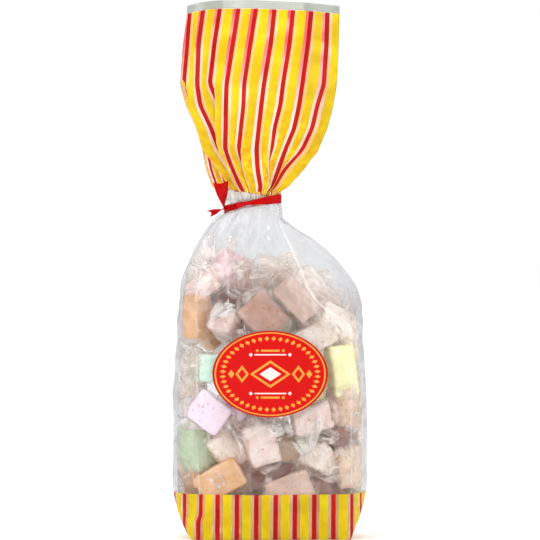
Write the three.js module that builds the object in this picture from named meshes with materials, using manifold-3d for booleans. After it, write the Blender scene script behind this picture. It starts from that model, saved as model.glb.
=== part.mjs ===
// A clear gusseted bag of wrapped nougat that stands on its flat block bottom. The neck is
// gathered and closed with a ribbon twist tie, the open end fans out above it, and an oval
// label is stuck on the front panel.
// Millimetres, +Z up, the front faces -Y. The origin is the middle of the flat base.

import * as THREE from 'three';
import { mergeVertices } from 'three/addons/utils/BufferGeometryUtils.js';
import Module from 'manifold-3d';

const wasm = await Module();
wasm.setup();

// The filled body
const HEIGHT = 377;
const PANEL_HALF_WIDTH = 53.5;
const BASE_HALF_WIDTH = 55.5;
const BODY_HALF_WIDTH = 68;
const BASE_HALF_DEPTH = 30;
const BODY_HALF_DEPTH = 32;
const PANEL_BULGE = 6.5;
const CORNER_HEIGHT = 40;
const TAPER_START = 100;
const TAPER_PER_MM = 0.06;
const SHOULDER_START = 160;

// The gathered neck, which sits left of the middle
const NECK_LEFT = 30.5;
const NECK_RIGHT = 7.5;
const NECK_BOTTOM_LEFT = 231;
const NECK_BOTTOM_RIGHT = 226;
const NECK_TOP_LEFT = 240;
const NECK_TOP_RIGHT = 244;
const NECK_HALF_DEPTH = 4;
const NECK_BULGE = 2.5;
const LEFT_SHOULDER_POWER = 2.25;
const RIGHT_SHOULDER_POWER = 1.85;
const DEPTH_SHOULDER_POWER = 1.8;

// The fanned open end above the neck
const FAN_START = 315;
const FAN_LEFT = 62.5;
const FAN_RIGHT = 46.5;
const FAN_LEAN = 2.8;
const FAN_HALF_DEPTH = 2.2;
const FAN_BULGE = 1;
const FAN_PUFF = 2.5;
const LEFT_FLARE_POWER = 0.75;
const CURL_LEFT = 12;
const CURL_RIGHT = 7;
const FAN_WAVE = 1.6;
const FAN_WAVE_LENGTH = 37;
const TOP_CREST_X = -31;
const TOP_DROP_LEFT = 4;
const TOP_DROP_RIGHT = 3.5;

// The pleats that run into the neck
const PLEATS = 11;
const PLEAT_DEPTH = 1;
const PLEAT_REACH_DOWN = 26;
const PLEAT_REACH_UP = 60;

// How finely the bag is cut: steps across a panel and half a gusset, and up each stretch
const PANEL_STEPS = 24;
const GUSSET_STEPS = 4;

// The label, and the gap that keeps the pieces apart
const LABEL_WIDTH = 80;
const LABEL_HEIGHT = 60;
const LABEL_THICKNESS = 0.4;
const LABEL_X = -1;
const LABEL_Z = 115.3;
const GAP = 0.3;

// The ribbon twist tie
const RIBBON_THICKNESS = 1;
const BAND_HEIGHT = 5.8;
const BAND_CLEARANCE = 0.6;
const BAND_RISE_PER_MM = 0.12;
const BAND_Z = 237.4;
const TWIST_RADIUS = 1.9;
const TAIL_WIDTH = 8.2;
const TAIL_ROOT_WIDTH = 3.4;

const { lerp, smoothstep, clamp } = THREE.MathUtils;

function portion(value, start, end) {
  return clamp((value - start) / (end - start), 0, 1);
}

// Half width of the filled body, where both sides are alike
function bodyReach(z) {
  if (z < CORNER_HEIGHT) {
    const rise = Math.sin((Math.PI / 2) * (z / CORNER_HEIGHT));
    return lerp(BASE_HALF_WIDTH, BODY_HALF_WIDTH, rise);
  }
  return BODY_HALF_WIDTH - TAPER_PER_MM * Math.max(0, z - TAPER_START);
}

// A shoulder leaves the body upright and closes in on the neck as a power curve
function shoulder(z, neckBottom, neckReach, power) {
  const climb = portion(z, SHOULDER_START, neckBottom);
  return lerp(neckReach, bodyReach(SHOULDER_START), 1 - climb ** power);
}

function leftReach(z) {
  if (z < SHOULDER_START) return bodyReach(z);
  if (z < NECK_TOP_LEFT) return shoulder(z, NECK_BOTTOM_LEFT, NECK_LEFT, LEFT_SHOULDER_POWER);
  const flare = portion(z, NECK_TOP_LEFT, FAN_START) ** LEFT_FLARE_POWER;
  return lerp(NECK_LEFT, FAN_LEFT, flare) - FAN_LEAN * portion(z, FAN_START, HEIGHT);
}

function rightReach(z) {
  if (z < SHOULDER_START) return bodyReach(z);
  if (z < NECK_TOP_RIGHT) return shoulder(z, NECK_BOTTOM_RIGHT, NECK_RIGHT, RIGHT_SHOULDER_POWER);
  const flare = Math.sin((Math.PI / 2) * portion(z, NECK_TOP_RIGHT, FAN_START));
  return lerp(NECK_RIGHT, FAN_RIGHT, flare) + FAN_LEAN * portion(z, FAN_START, HEIGHT);
}

// Half the distance from crease to crease across the front panel
function creaseHalfWidth(z) {
  if (z < SHOULDER_START) return PANEL_HALF_WIDTH;
  const halfWidth = (leftReach(z) + rightReach(z)) / 2;
  const bodyShare = PANEL_HALF_WIDTH / bodyReach(SHOULDER_START);
  const neckShare = 0.75;
  const fanShare = 0.93;
  const gathered = lerp(bodyShare, neckShare, portion(z, SHOULDER_START, NECK_BOTTOM_LEFT));
  return halfWidth * lerp(gathered, fanShare, portion(z, NECK_TOP_RIGHT, FAN_START));
}

// Half the depth between the front and back creases
function creaseHalfDepth(z) {
  if (z < SHOULDER_START) return lerp(BASE_HALF_DEPTH, BODY_HALF_DEPTH, portion(z, 0, CORNER_HEIGHT));
  const climb = portion(z, SHOULDER_START, NECK_BOTTOM_LEFT);
  const shoulderDepth = lerp(NECK_HALF_DEPTH, BODY_HALF_DEPTH, 1 - climb ** DEPTH_SHOULDER_POWER);
  const fan = portion(z, NECK_TOP_RIGHT, HEIGHT);
  const puff = FAN_PUFF * Math.sin(Math.PI * portion(z, NECK_TOP_RIGHT, FAN_START));
  return lerp(shoulderDepth, FAN_HALF_DEPTH, fan) + puff;
}

// How far a panel stands out past its creases at its middle
function panelBulge(z) {
  const filled = lerp(0, PANEL_BULGE, smoothstep(z, 0, CORNER_HEIGHT));
  const gathered = lerp(filled, NECK_BULGE, smoothstep(z, SHOULDER_START, NECK_BOTTOM_LEFT));
  return lerp(gathered, FAN_BULGE, portion(z, NECK_TOP_RIGHT, HEIGHT));
}

function centreX(z) {
  return (rightReach(z) - leftReach(z)) / 2;
}

function panelOutline(across, z) {
  const x = creaseHalfWidth(z) * across;
  const y = creaseHalfDepth(z) + panelBulge(z) * (1 - across ** 2);
  return new THREE.Vector2(x, y);
}

function gussetOutline(deep, z) {
  const crease = creaseHalfWidth(z);
  const bulge = (leftReach(z) + rightReach(z)) / 2 - crease;
  return new THREE.Vector2(crease + bulge * (1 - Math.abs(deep) ** 1.5), creaseHalfDepth(z) * deep);
}

// The plain section at a height, from the middle of the left gusset round by the front
function plainSection(z) {
  const ring = [];
  for (let i = 0; i < GUSSET_STEPS; i += 1) {
    const corner = gussetOutline(-i / GUSSET_STEPS, z);
    ring.push(new THREE.Vector2(-corner.x, corner.y));
  }
  for (let i = 0; i < PANEL_STEPS; i += 1) {
    const front = panelOutline((2 * i) / PANEL_STEPS - 1, z);
    ring.push(new THREE.Vector2(front.x, -front.y));
  }
  for (let i = 0; i < 2 * GUSSET_STEPS; i += 1) {
    ring.push(gussetOutline(i / GUSSET_STEPS - 1, z));
  }
  for (let i = 0; i < PANEL_STEPS; i += 1) {
    ring.push(panelOutline(1 - (2 * i) / PANEL_STEPS, z));
  }
  for (let i = 0; i < GUSSET_STEPS; i += 1) {
    const corner = gussetOutline(1 - i / GUSSET_STEPS, z);
    ring.push(new THREE.Vector2(-corner.x, corner.y));
  }
  return ring;
}

function pleatDepth(z) {
  const reach = z < BAND_Z ? PLEAT_REACH_DOWN : PLEAT_REACH_UP;
  return PLEAT_DEPTH * Math.exp(-(((z - BAND_Z) / reach) ** 2));
}

// The fan is one wavy sheet whose two edges curl to the back
function fanOffset(x, z) {
  const fanned = smoothstep(z, NECK_TOP_RIGHT, FAN_START);
  const wave = FAN_WAVE * Math.sin((2 * Math.PI * x) / FAN_WAVE_LENGTH);
  const across = (x - centreX(z)) / creaseHalfWidth(z);
  const curl = (across < 0 ? CURL_LEFT : CURL_RIGHT) * Math.abs(across) ** 3;
  return fanned * (wave + curl);
}

// The open end is cut level, but its edges sag a little from the crest
function topDrop(x, z) {
  const side = x < TOP_CREST_X ? TOP_DROP_LEFT : TOP_DROP_RIGHT;
  const edge = x < TOP_CREST_X ? -leftReach(HEIGHT) : rightReach(HEIGHT);
  const away = (x - TOP_CREST_X) / (edge - TOP_CREST_X);
  return side * away ** 2 * portion(z, FAN_START, HEIGHT);
}

function section(z) {
  const plain = plainSection(z);
  return plain.map((point, i) => {
    const before = plain.at(i - 1);
    const after = plain[(i + 1) % plain.length];
    const outward = new THREE.Vector2(after.y - before.y, before.x - after.x).normalize();
    const pleat = pleatDepth(z) * Math.cos((2 * Math.PI * PLEATS * i) / plain.length);
    const x = point.x + outward.x * pleat + centreX(z);
    const y = point.y + outward.y * pleat + fanOffset(x, z);
    return new THREE.Vector3(x, y, z - topDrop(x, z));
  });
}

function heightsBetween(start, end, steps) {
  return Array.from({ length: steps }, (_, i) => lerp(start, end, i / steps));
}

function closedGeometry(points, triangles) {
  const geometry = new THREE.BufferGeometry().setFromPoints(points);
  geometry.setIndex(triangles);
  geometry.computeVertexNormals();
  return geometry;
}

// Skins a stack of rings and closes both ends with a ladder from front to back
function loft(rings) {
  const count = rings[0].length;
  const triangles = [];
  for (let level = 0; level < rings.length - 1; level += 1) {
    for (let i = 0; i < count; i += 1) {
      const a = level * count + i;
      const b = level * count + ((i + 1) % count);
      triangles.push(a, b, b + count, a, b + count, a + count);
    }
  }
  const top = (rings.length - 1) * count;
  for (let i = 0; i < count / 2; i += 1) {
    const back = (count - i) % count;
    const nextBack = count - i - 1;
    if (i < count / 2 - 1) {
      triangles.push(nextBack, i + 1, i);
      triangles.push(top + i, top + i + 1, top + nextBack);
    }
    if (i > 0) {
      triangles.push(i, back, nextBack);
      triangles.push(top + nextBack, top + back, top + i);
    }
  }
  return closedGeometry(rings.flat(), triangles);
}

function bagGeometry() {
  const heights = [
    ...heightsBetween(0, CORNER_HEIGHT, 6),
    ...heightsBetween(CORNER_HEIGHT, SHOULDER_START, 8),
    ...heightsBetween(SHOULDER_START, NECK_BOTTOM_LEFT, 12),
    ...heightsBetween(NECK_BOTTOM_LEFT, NECK_TOP_RIGHT, 4),
    ...heightsBetween(NECK_TOP_RIGHT, FAN_START, 13),
    ...heightsBetween(FAN_START, HEIGHT, 5),
    HEIGHT,
  ];
  return loft(heights.map(section));
}

function frontPanelY(x, z) {
  const across = (x - centreX(z)) / creaseHalfWidth(z);
  return -panelOutline(across, z).y;
}

// The oval label follows the bulge of the front panel
function labelGeometry() {
  const rings = 5;
  const spokes = 44;
  const points = [];
  const addFace = (standOff) => {
    for (let ring = 0; ring <= rings; ring += 1) {
      const count = ring === 0 ? 1 : spokes;
      for (let i = 0; i < count; i += 1) {
        const angle = (2 * Math.PI * i) / spokes;
        const x = LABEL_X + (LABEL_WIDTH / 2) * (ring / rings) * Math.cos(angle);
        const z = LABEL_Z + (LABEL_HEIGHT / 2) * (ring / rings) * Math.sin(angle);
        points.push(new THREE.Vector3(x, frontPanelY(x, z) - standOff, z));
      }
    }
  };
  addFace(GAP + LABEL_THICKNESS);
  addFace(GAP);
  const backStart = 1 + rings * spokes;
  const at = (ring, i) => (ring === 0 ? 0 : 1 + (ring - 1) * spokes + (i % spokes));
  const triangles = [];
  const addBoth = (a, b, c) => {
    triangles.push(a, b, c, backStart + a, backStart + c, backStart + b);
  };
  for (let i = 0; i < spokes; i += 1) {
    addBoth(at(0, 0), at(1, i), at(1, i + 1));
    for (let ring = 1; ring < rings; ring += 1) {
      addBoth(at(ring, i), at(ring + 1, i), at(ring + 1, i + 1));
      addBoth(at(ring, i), at(ring + 1, i + 1), at(ring, i + 1));
    }
    const rim = at(rings, i);
    const nextRim = at(rings, i + 1);
    triangles.push(rim, backStart + rim, backStart + nextRim);
    triangles.push(rim, backStart + nextRim, nextRim);
  }
  return closedGeometry(points, triangles);
}

// A bar of rectangular section through a row of four-cornered rings
function strip(rings, closed) {
  const triangles = [];
  const last = closed ? rings.length : rings.length - 1;
  for (let step = 0; step < last; step += 1) {
    const next = ((step + 1) % rings.length) * 4;
    for (let side = 0; side < 4; side += 1) {
      const a = step * 4 + side;
      const b = step * 4 + ((side + 1) % 4);
      const c = next + ((side + 1) % 4);
      const d = next + side;
      triangles.push(a, b, c, a, c, d);
    }
  }
  if (!closed) {
    const end = (rings.length - 1) * 4;
    triangles.push(0, 2, 1, 0, 3, 2, end, end + 1, end + 2, end, end + 2, end + 3);
  }
  return closedGeometry(rings.flat(), triangles);
}

// The four corners of a ribbon's section, from its middle, its width and its thickness
function ribbonRing(middle, width, thick) {
  const corner = (w, t) => middle.clone().addScaledVector(width, w / 2).addScaledVector(thick, t / 2);
  return [corner(-1, -1), corner(1, -1), corner(1, 1), corner(-1, 1)];
}

function bandGeometry() {
  const steps = 40;
  const neckX = (NECK_RIGHT - NECK_LEFT) / 2;
  const clear = PLEAT_DEPTH + BAND_CLEARANCE + RIBBON_THICKNESS / 2;
  const halfWidth = (NECK_RIGHT + NECK_LEFT) / 2 + clear;
  const halfDepth = NECK_HALF_DEPTH + NECK_BULGE + clear;
  const rings = Array.from({ length: steps }, (_, i) => {
    const angle = (2 * Math.PI * i) / steps;
    const x = halfWidth * Math.cos(angle);
    const outward = new THREE.Vector3(Math.cos(angle) / halfWidth, Math.sin(angle) / halfDepth, 0);
    const middle = new THREE.Vector3(neckX + x, halfDepth * Math.sin(angle), BAND_Z + BAND_RISE_PER_MM * x);
    const width = new THREE.Vector3(0, 0, BAND_HEIGHT);
    return ribbonRing(middle, width, outward.setLength(RIBBON_THICKNESS));
  });
  return strip(rings, true);
}

const TWIST_START = new THREE.Vector3(-26.5, -8.3, 235.6);
const TWIST_END = new THREE.Vector3(-32.6, -7.4, 233.6);
const UPPER_TAIL_END = new THREE.Vector3(-34.6, -9.2, 248.4);
const LOWER_TAIL_END = new THREE.Vector3(-41.2, -6.6, 228.2);

function twistGeometry() {
  const along = TWIST_END.clone().sub(TWIST_START);
  const geometry = new THREE.CylinderGeometry(TWIST_RADIUS, TWIST_RADIUS, along.length(), 10);
  const upright = new THREE.Vector3(0, 1, 0);
  geometry.applyQuaternion(new THREE.Quaternion().setFromUnitVectors(upright, along.normalize()));
  const middle = TWIST_START.clone().lerp(TWIST_END, 0.5);
  geometry.translate(middle.x, middle.y, middle.z);
  return geometry;
}

// A tail widens from the twist to its cut end
function tailGeometry(end, widthDirection) {
  const steps = 5;
  const along = end.clone().sub(TWIST_END).normalize();
  const start = TWIST_END.clone().addScaledVector(along, -TWIST_RADIUS / 2);
  const width = widthDirection.clone().projectOnPlane(along).normalize();
  const thick = along.clone().cross(width).setLength(RIBBON_THICKNESS);
  const rings = Array.from({ length: steps + 1 }, (_, i) => {
    const middle = start.clone().lerp(end, i / steps);
    const size = lerp(TAIL_ROOT_WIDTH, TAIL_WIDTH, smoothstep(i / steps, 0, 1));
    return ribbonRing(middle, width.clone().multiplyScalar(size), thick);
  });
  return strip(rings, false);
}

function solid(geometry) {
  const bare = geometry.clone();
  bare.deleteAttribute('normal');
  bare.deleteAttribute('uv');
  const merged = mergeVertices(bare, 1e-4);
  const vertProperties = new Float32Array(merged.attributes.position.array);
  const triVerts = new Uint32Array(merged.index.array);
  return new wasm.Manifold(new wasm.Mesh({ numProp: 3, vertProperties, triVerts }));
}

function geometryOf(manifold) {
  const { vertProperties, triVerts } = manifold.getMesh();
  const geometry = new THREE.BufferGeometry();
  geometry.setAttribute('position', new THREE.BufferAttribute(vertProperties, 3));
  geometry.setIndex(new THREE.BufferAttribute(triVerts, 1));
  geometry.computeVertexNormals();
  return geometry;
}

function twistTieGeometry() {
  const upperTail = tailGeometry(UPPER_TAIL_END, new THREE.Vector3(1, 0.15, 0));
  const lowerTail = tailGeometry(LOWER_TAIL_END, new THREE.Vector3(0.2, 0.9, 0.3));
  const pieces = [bandGeometry(), twistGeometry(), upperTail, lowerTail].map(solid);
  return geometryOf(pieces.reduce((joined, piece) => joined.add(piece)));
}

function mesh(name, geometry, color, roughness) {
  const material = new THREE.MeshStandardMaterial({ color, roughness, metalness: 0 });
  const piece = new THREE.Mesh(geometry, material);
  piece.name = name;
  return piece;
}

const bag = mesh('bag', bagGeometry(), 0xe3dcdf, 0.15);
bag.material.transparent = true;
bag.material.opacity = 0.35;

const object = new THREE.Group();
object.add(bag);
object.add(mesh('label', labelGeometry(), 0xdc2418, 0.3));
object.add(mesh('twist_tie', twistTieGeometry(), 0xcd0810, 0.45));

export default object;
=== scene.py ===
# %% [markdown]
# # A clear bag of wrapped nougat
# The bag is a tube of thin clear film with side gussets and a flat block bottom. It is filled
# with small nougat blocks, each in its own twist of film, gathered at the neck and closed with a
# red ribbon tie. Above the tie the printed end of the bag fans out.
# The CAD part gives the outer shape. This script makes what is seen: film, print, sweets,
# label and ribbon.

# %% Load the frame
import math

import bpy
import numpy as np
from mathutils import Euler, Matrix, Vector, noise


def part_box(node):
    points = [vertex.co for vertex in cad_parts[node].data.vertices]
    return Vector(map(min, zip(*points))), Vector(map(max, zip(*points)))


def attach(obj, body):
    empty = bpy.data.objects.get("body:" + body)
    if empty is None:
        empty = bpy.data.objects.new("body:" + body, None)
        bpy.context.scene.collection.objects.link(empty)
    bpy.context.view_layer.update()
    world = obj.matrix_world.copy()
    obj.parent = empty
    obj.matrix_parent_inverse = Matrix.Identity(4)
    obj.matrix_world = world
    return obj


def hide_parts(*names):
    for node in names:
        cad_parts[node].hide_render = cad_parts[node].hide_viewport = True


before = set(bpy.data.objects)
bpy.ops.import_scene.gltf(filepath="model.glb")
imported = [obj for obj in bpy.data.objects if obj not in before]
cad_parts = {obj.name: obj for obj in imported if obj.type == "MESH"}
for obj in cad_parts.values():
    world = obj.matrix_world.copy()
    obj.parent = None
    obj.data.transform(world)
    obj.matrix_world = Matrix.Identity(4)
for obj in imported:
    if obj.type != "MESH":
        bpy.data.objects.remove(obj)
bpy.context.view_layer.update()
bag_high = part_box("bag")[1]
label_low, label_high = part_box("label")
print("bag stands", round(bag_high.z * 1000), "mm high")

# %% [markdown]
# ## Camera
# The bag is seen straight from the front, from 2.4 m away with a long lens, so its upright edges
# stay parallel. The camera comes first, because it says which sides are seen. Another way is to
# frame the object by eye in the viewport; here the lens is worked out from the size of the
# picture at the bag.

# %% The camera
PICTURE_SIDE = 0.3795
CAMERA_DISTANCE = 2.4
CAMERA_TURN = math.radians(1.8)
SENSOR = 36
aim = Vector((0, 0, 0.1873))

camera_data = bpy.data.cameras.new("camera")
camera_data.sensor_width = SENSOR
camera_data.lens = SENSOR * CAMERA_DISTANCE / PICTURE_SIDE
camera = bpy.data.objects.new("camera", camera_data)
bpy.context.scene.collection.objects.link(camera)
sideways = -CAMERA_DISTANCE * math.sin(CAMERA_TURN)
camera.location = aim + Vector((sideways, -CAMERA_DISTANCE * math.cos(CAMERA_TURN), 0))
camera.rotation_euler = (aim - camera.location).to_track_quat("-Z", "Y").to_euler()
bpy.context.scene.camera = camera
print("lens", round(camera_data.lens), "mm")

# %% [markdown]
# ## Small helpers
# Everything is worked out in millimetres and turned to metres when a mesh is made. Colours are
# written as sRGB hex values, as in any paint program, and one function turns them linear,
# because shaders add light linearly. Another function adds a node to a material. The same nodes
# can be wired by hand in the shader editor, but one line each is easier to read and to change.

# %% Helpers for numbers, colours and nodes
MM = 0.001


def portion(value, start, end):
    """How far value has come from start to end, from 0 to 1."""
    return np.clip((value - start) / (end - start), 0, 1)


def smooth(value, start, end):
    """The same with a soft start and a soft end."""
    t = portion(value, start, end)
    return t * t * (3 - 2 * t)


def lerp(a, b, t):
    return a + (b - a) * t


def linear(hex_colour):
    parts = [int(hex_colour[i:i + 2], 16) / 255 for i in (1, 3, 5)]
    return tuple(p / 12.92 if p <= 0.04045 else ((p + 0.055) / 1.055) ** 2.4 for p in parts) + (1,)


def add_node(tree, kind, inputs=(), **settings):
    """Inputs go by name, or in order among those that the settings leave in use. Each is a
    number, a colour, a socket, or a node, which then gives its first output in use."""
    node = tree.nodes.new(kind)
    for name, value in settings.items():
        setattr(node, name, value)
    in_use = [socket for socket in node.inputs if socket.enabled]
    for key, value in inputs.items() if isinstance(inputs, dict) else enumerate(inputs):
        socket = node.inputs[key] if isinstance(key, str) else in_use[key]
        if isinstance(value, bpy.types.Node):
            value = next(output for output in value.outputs if output.enabled)
        if isinstance(value, bpy.types.NodeSocket):
            tree.links.new(value, socket)
        else:
            socket.default_value = value
    return node


def new_material(name):
    material = bpy.data.materials.new(name)
    material.use_nodes = True
    material.node_tree.nodes.clear()
    return material, material.node_tree


print("a half grey, #808080, is", round(linear("#808080")[0], 3), "of the light of white")

# %% [markdown]
# ## Meshes from grids
# Film, wrappers and ribbon are all sheets, so each is a grid of points with rows and columns.
# Drawing them by hand in the editor is possible, but a grid from a formula keeps the millimetres
# of the flat film with each point, and the print is laid out in those.

# %% Helpers for grids
def grid_faces(rows, columns, closed, start=0):
    row = np.arange(rows - 1)[:, None] * columns
    column = np.arange(columns if closed else columns - 1)[None, :]
    after = (column + 1) % columns
    corners = [row + column, row + after, row + after + columns, row + column + columns]
    return np.stack([c.ravel() for c in corners], 1) + start


def make_piece(name, points, faces, material, flat=None):
    """Makes a smooth mesh from points in mm. flat is what the material knows of each point: its
    place on the flat sheet in mm, and how strongly it is marked. Both may come as grids."""
    mesh = bpy.data.meshes.new(name)
    mesh.from_pydata((points.reshape(-1, 3) * MM).tolist(), [], faces.tolist())
    if flat is not None:
        attribute = mesh.attributes.new("flat_mm", "FLOAT_VECTOR", "POINT")
        attribute.data.foreach_set("vector", flat.astype(np.float32).ravel())
    mesh.polygons.foreach_set("use_smooth", [True] * len(mesh.polygons))
    mesh.materials.append(material)
    mesh.update()
    piece = bpy.data.objects.new(name, mesh)
    bpy.context.scene.collection.objects.link(piece)
    triangles = sum(len(p.vertices) - 2 for p in mesh.polygons)
    print(name, triangles, "triangles")
    return piece


def grid_normals(grid, closed):
    along = np.gradient(grid, axis=0)
    if closed:
        across = np.roll(grid, -1, axis=1) - np.roll(grid, 1, axis=1)
    else:
        across = np.gradient(grid, axis=1)
    normal = np.cross(across, along)
    return normal / np.maximum(np.linalg.norm(normal, axis=2, keepdims=True), 1e-9)


def noise_at(points, size, seed):
    """Noise at each point of an array, from -1 to 1, with features of about size mm."""
    # Each seed looks up the noise at a place of its own.
    scaled = points.reshape(-1, 3) / size + np.array([seed * 7.3, seed * 3.1, seed * 5.7])
    values = [noise.noise(Vector(p)) for p in scaled.tolist()]
    return np.array(values).reshape(points.shape[:-1])


print("a grid of 3 by 4 points has", len(grid_faces(3, 4, False)), "faces")

# %% [markdown]
# ## The outline of the bag
# Seen from the front, the bag has a full body, shoulders that close in, a narrow neck and a
# fan. It could be traced as a curve, but the film, the sweets and the ribbon all need to know
# how wide the bag is at any height. So the functions below repeat the CAD outline, with the
# shoulders as power curves. All lengths are in millimetres.

# %% Outline of the bag
HEIGHT = bag_high.z / MM
PANEL_HALF = 53.5
GUSSET_WIDTH = 66
TUBE_HALF = PANEL_HALF * 2 + GUSSET_WIDTH
BASE_HALF_WIDTH = 55.5
BODY_HALF_WIDTH = bag_high.x / MM
CORNER_HEIGHT = 40
TAPER = 0.06
TAPER_START = 100
SHOULDER_START = 160
NECK_LEFT = 30.5
NECK_RIGHT = 7.5
NECK_BOTTOM_LEFT = 231
NECK_BOTTOM_RIGHT = 223
NECK_TOP = 242
FAN_START = 315
FAN_LEFT = 62.5
FAN_RIGHT = 46.5
FAN_LEAN = 2.8
# How round the lower corners are.
LEFT_CORNER = 0.75
RIGHT_CORNER = 1.15
# How full the shoulders are: 1 would be a straight slope.
LEFT_SHOULDER = 2.25
RIGHT_SHOULDER = 1.95


def body_reach(z, roundness=1.0):
    """Half the width of the body. The roundness is that of its lower corner."""
    rise = np.sin(math.pi / 2 * portion(z, 0, CORNER_HEIGHT)) ** roundness
    corner = lerp(BASE_HALF_WIDTH, BODY_HALF_WIDTH, rise)
    return corner - TAPER * np.clip(z - TAPER_START, 0, SHOULDER_START - TAPER_START)


def corner_tuck(z, reach):
    """How much of the gusset's width folds inwards at the rounded lower corners."""
    return (BODY_HALF_WIDTH - reach) * (z < CORNER_HEIGHT)


def left_reach(z):
    """How far the bag reaches to the left of its middle."""
    climb = portion(z, SHOULDER_START, NECK_BOTTOM_LEFT)
    body = lerp(NECK_LEFT, body_reach(z, LEFT_CORNER), 1 - climb ** LEFT_SHOULDER)
    flare = portion(z, NECK_TOP - 2, FAN_START) ** 0.75
    return body + (FAN_LEFT - NECK_LEFT) * flare - FAN_LEAN * portion(z, FAN_START, HEIGHT)


def right_reach(z):
    """How far the bag reaches to the right of its middle."""
    climb = portion(z, SHOULDER_START, NECK_BOTTOM_RIGHT)
    body = lerp(NECK_RIGHT, body_reach(z, RIGHT_CORNER), 1 - climb ** RIGHT_SHOULDER)
    flare = np.sin(math.pi / 2 * portion(z, NECK_TOP + 2, FAN_START))
    return body + (FAN_RIGHT - NECK_RIGHT) * flare + FAN_LEAN * portion(z, FAN_START, HEIGHT)


print("body is", round(2 * float(body_reach(np.array(70.0)))), "mm wide at 70 mm up")

# %% [markdown]
# ## The surface of the film
# The film is a tube 346 mm round: two panels of 107 mm and two gussets of 66 mm, with a crease
# at each edge. A point on it is named by its place round the tube and its height, so the print
# keeps its place on the film. Unwrapping a modelled bag gives the same, but less exactly. The
# right crease swings in towards the neck and leaves an empty pouch on that side.

# %% A point of the film
LEFT_CREASE = -51.5
# The heights at which the slope of the right crease changes, and its x there.
SWING_HEIGHTS = (146, 150, 155, 161, 168, 175, 190, 218, 231)
SWING_PLACES = (55.5, 53.8, 46, 36, 29.5, 25.2, 19.3, 7.6, 5)
GUSSET_ROUND = 1.6


def left_crease(z):
    """The left crease stays near the edge and follows the shoulder into the neck."""
    share = lerp(0.83, 0.75, portion(z, SHOULDER_START, NECK_BOTTOM_LEFT))
    middle = (right_reach(z) - left_reach(z)) / 2
    gathered = middle - (right_reach(z) + left_reach(z)) / 2 * share
    return lerp(LEFT_CREASE, gathered, smooth(z, SHOULDER_START - 20, SHOULDER_START + 20))


def right_crease(z):
    """The right crease swings in steeply at first, then runs up to the neck."""
    return np.interp(z, SWING_HEIGHTS, SWING_PLACES)


def crease_depth(z):
    """How far the creases stand from the middle of the bag, front and back."""
    filled = lerp(30, 32, portion(z, 0, CORNER_HEIGHT))
    climb = portion(z, SHOULDER_START, NECK_BOTTOM_LEFT)
    return lerp(4, filled, 1 - climb ** 1.8)


def panel_bulge(z):
    """How far the middle of a panel stands out past its creases."""
    filled = 6.5 * smooth(z, 0, CORNER_HEIGHT)
    return lerp(filled, 2.5, smooth(z, SHOULDER_START, NECK_BOTTOM_LEFT))


def body_point(around, z):
    """The plain body surface in mm. around runs from -173 to 173, 0 at the front's middle."""
    side = np.sign(around)
    place = np.abs(around)
    from_middle = np.where(place < TUBE_HALF / 2, around, side * (TUBE_HALF - place))
    panel = np.clip(from_middle / PANEL_HALF, -1, 1)
    left = left_crease(z)
    right = right_crease(z)
    panel_x = lerp(left, right, (panel + 1) / 2)
    panel_y = crease_depth(z) + panel_bulge(z) * (1 - panel ** 2)
    deep = np.clip((place - TUBE_HALF / 2) / (GUSSET_WIDTH / 2), -1, 1)
    reach = np.where(side < 0, -left_reach(z), right_reach(z))
    crease = np.where(side < 0, left, right)
    room = np.abs(reach - crease)
    spread = (room + corner_tuck(z, np.abs(reach))) * (1 - np.abs(deep) ** GUSSET_ROUND)
    # Where the gusset is wider than its room, at the lower corners, it folds over and lifts.
    over = np.maximum(spread - room, 0)
    gusset_x = crease + side * (spread - 1.4 * over)
    gusset_y = crease_depth(z) * deep
    in_gusset = np.abs(place - TUBE_HALF / 2) < GUSSET_WIDTH / 2
    facing = np.where(place < TUBE_HALF / 2, -1, 1)
    x = np.where(in_gusset, gusset_x, panel_x)
    y = np.where(in_gusset, gusset_y, facing * panel_y)
    lift = np.where(in_gusset, 0.35 * over, 0)
    return np.stack([x, y, z + lift], -1)


print("front panel is", round(float(right_crease(70) - left_crease(70))), "mm wide at 70 mm up")

# %% [markdown]
# ## Room for the sweets
# What lies in the bag must not poke through its film. A collision test would find such points,
# but the surface is known as a formula, so each point is simply moved back inside it.

# %% Keeping things inside the bag
# The film stands off the sweets a little at both sides.
LEFT_AIR = 2.2
RIGHT_AIR = 3.6


def keep_inside(points, margin):
    """Moves points that would stick out of the bag back to just inside its film."""
    x, y, z = points.T
    z = np.maximum(z, margin)
    tuck = corner_tuck(z, np.where(x < 0, left_reach(z), right_reach(z)))
    side = margin + 0.4 * tuck
    x = np.clip(x, -left_reach(z) + side + LEFT_AIR, right_reach(z) - side - RIGHT_AIR)
    left = left_crease(z)
    right = right_crease(z)
    beyond = np.where(x < left, (left - x) / (left_reach(z) + left + tuck), 0)
    beyond = np.where(x > right, (x - right) / (right_reach(z) - right + tuck), beyond)
    panel = np.clip((x - left) / (right - left) * 2 - 1, -1, 1)
    panel_y = crease_depth(z) + panel_bulge(z) * (1 - panel ** 2)
    gusset_y = crease_depth(z) * (1 - np.clip(beyond, 0, 1)) ** (1 / GUSSET_ROUND)
    limit = np.where(beyond > 0, gusset_y, panel_y)
    limit = np.maximum(limit - margin, 0.5)
    return np.stack([x, np.clip(y, -limit, limit), z], 1)


inner_corner = keep_inside(np.array([[100.0, 0, 70]]), 1.0)[0]
print("at 70 mm up the sweets reach", round(float(inner_corner[0])), "mm to the right")
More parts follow.
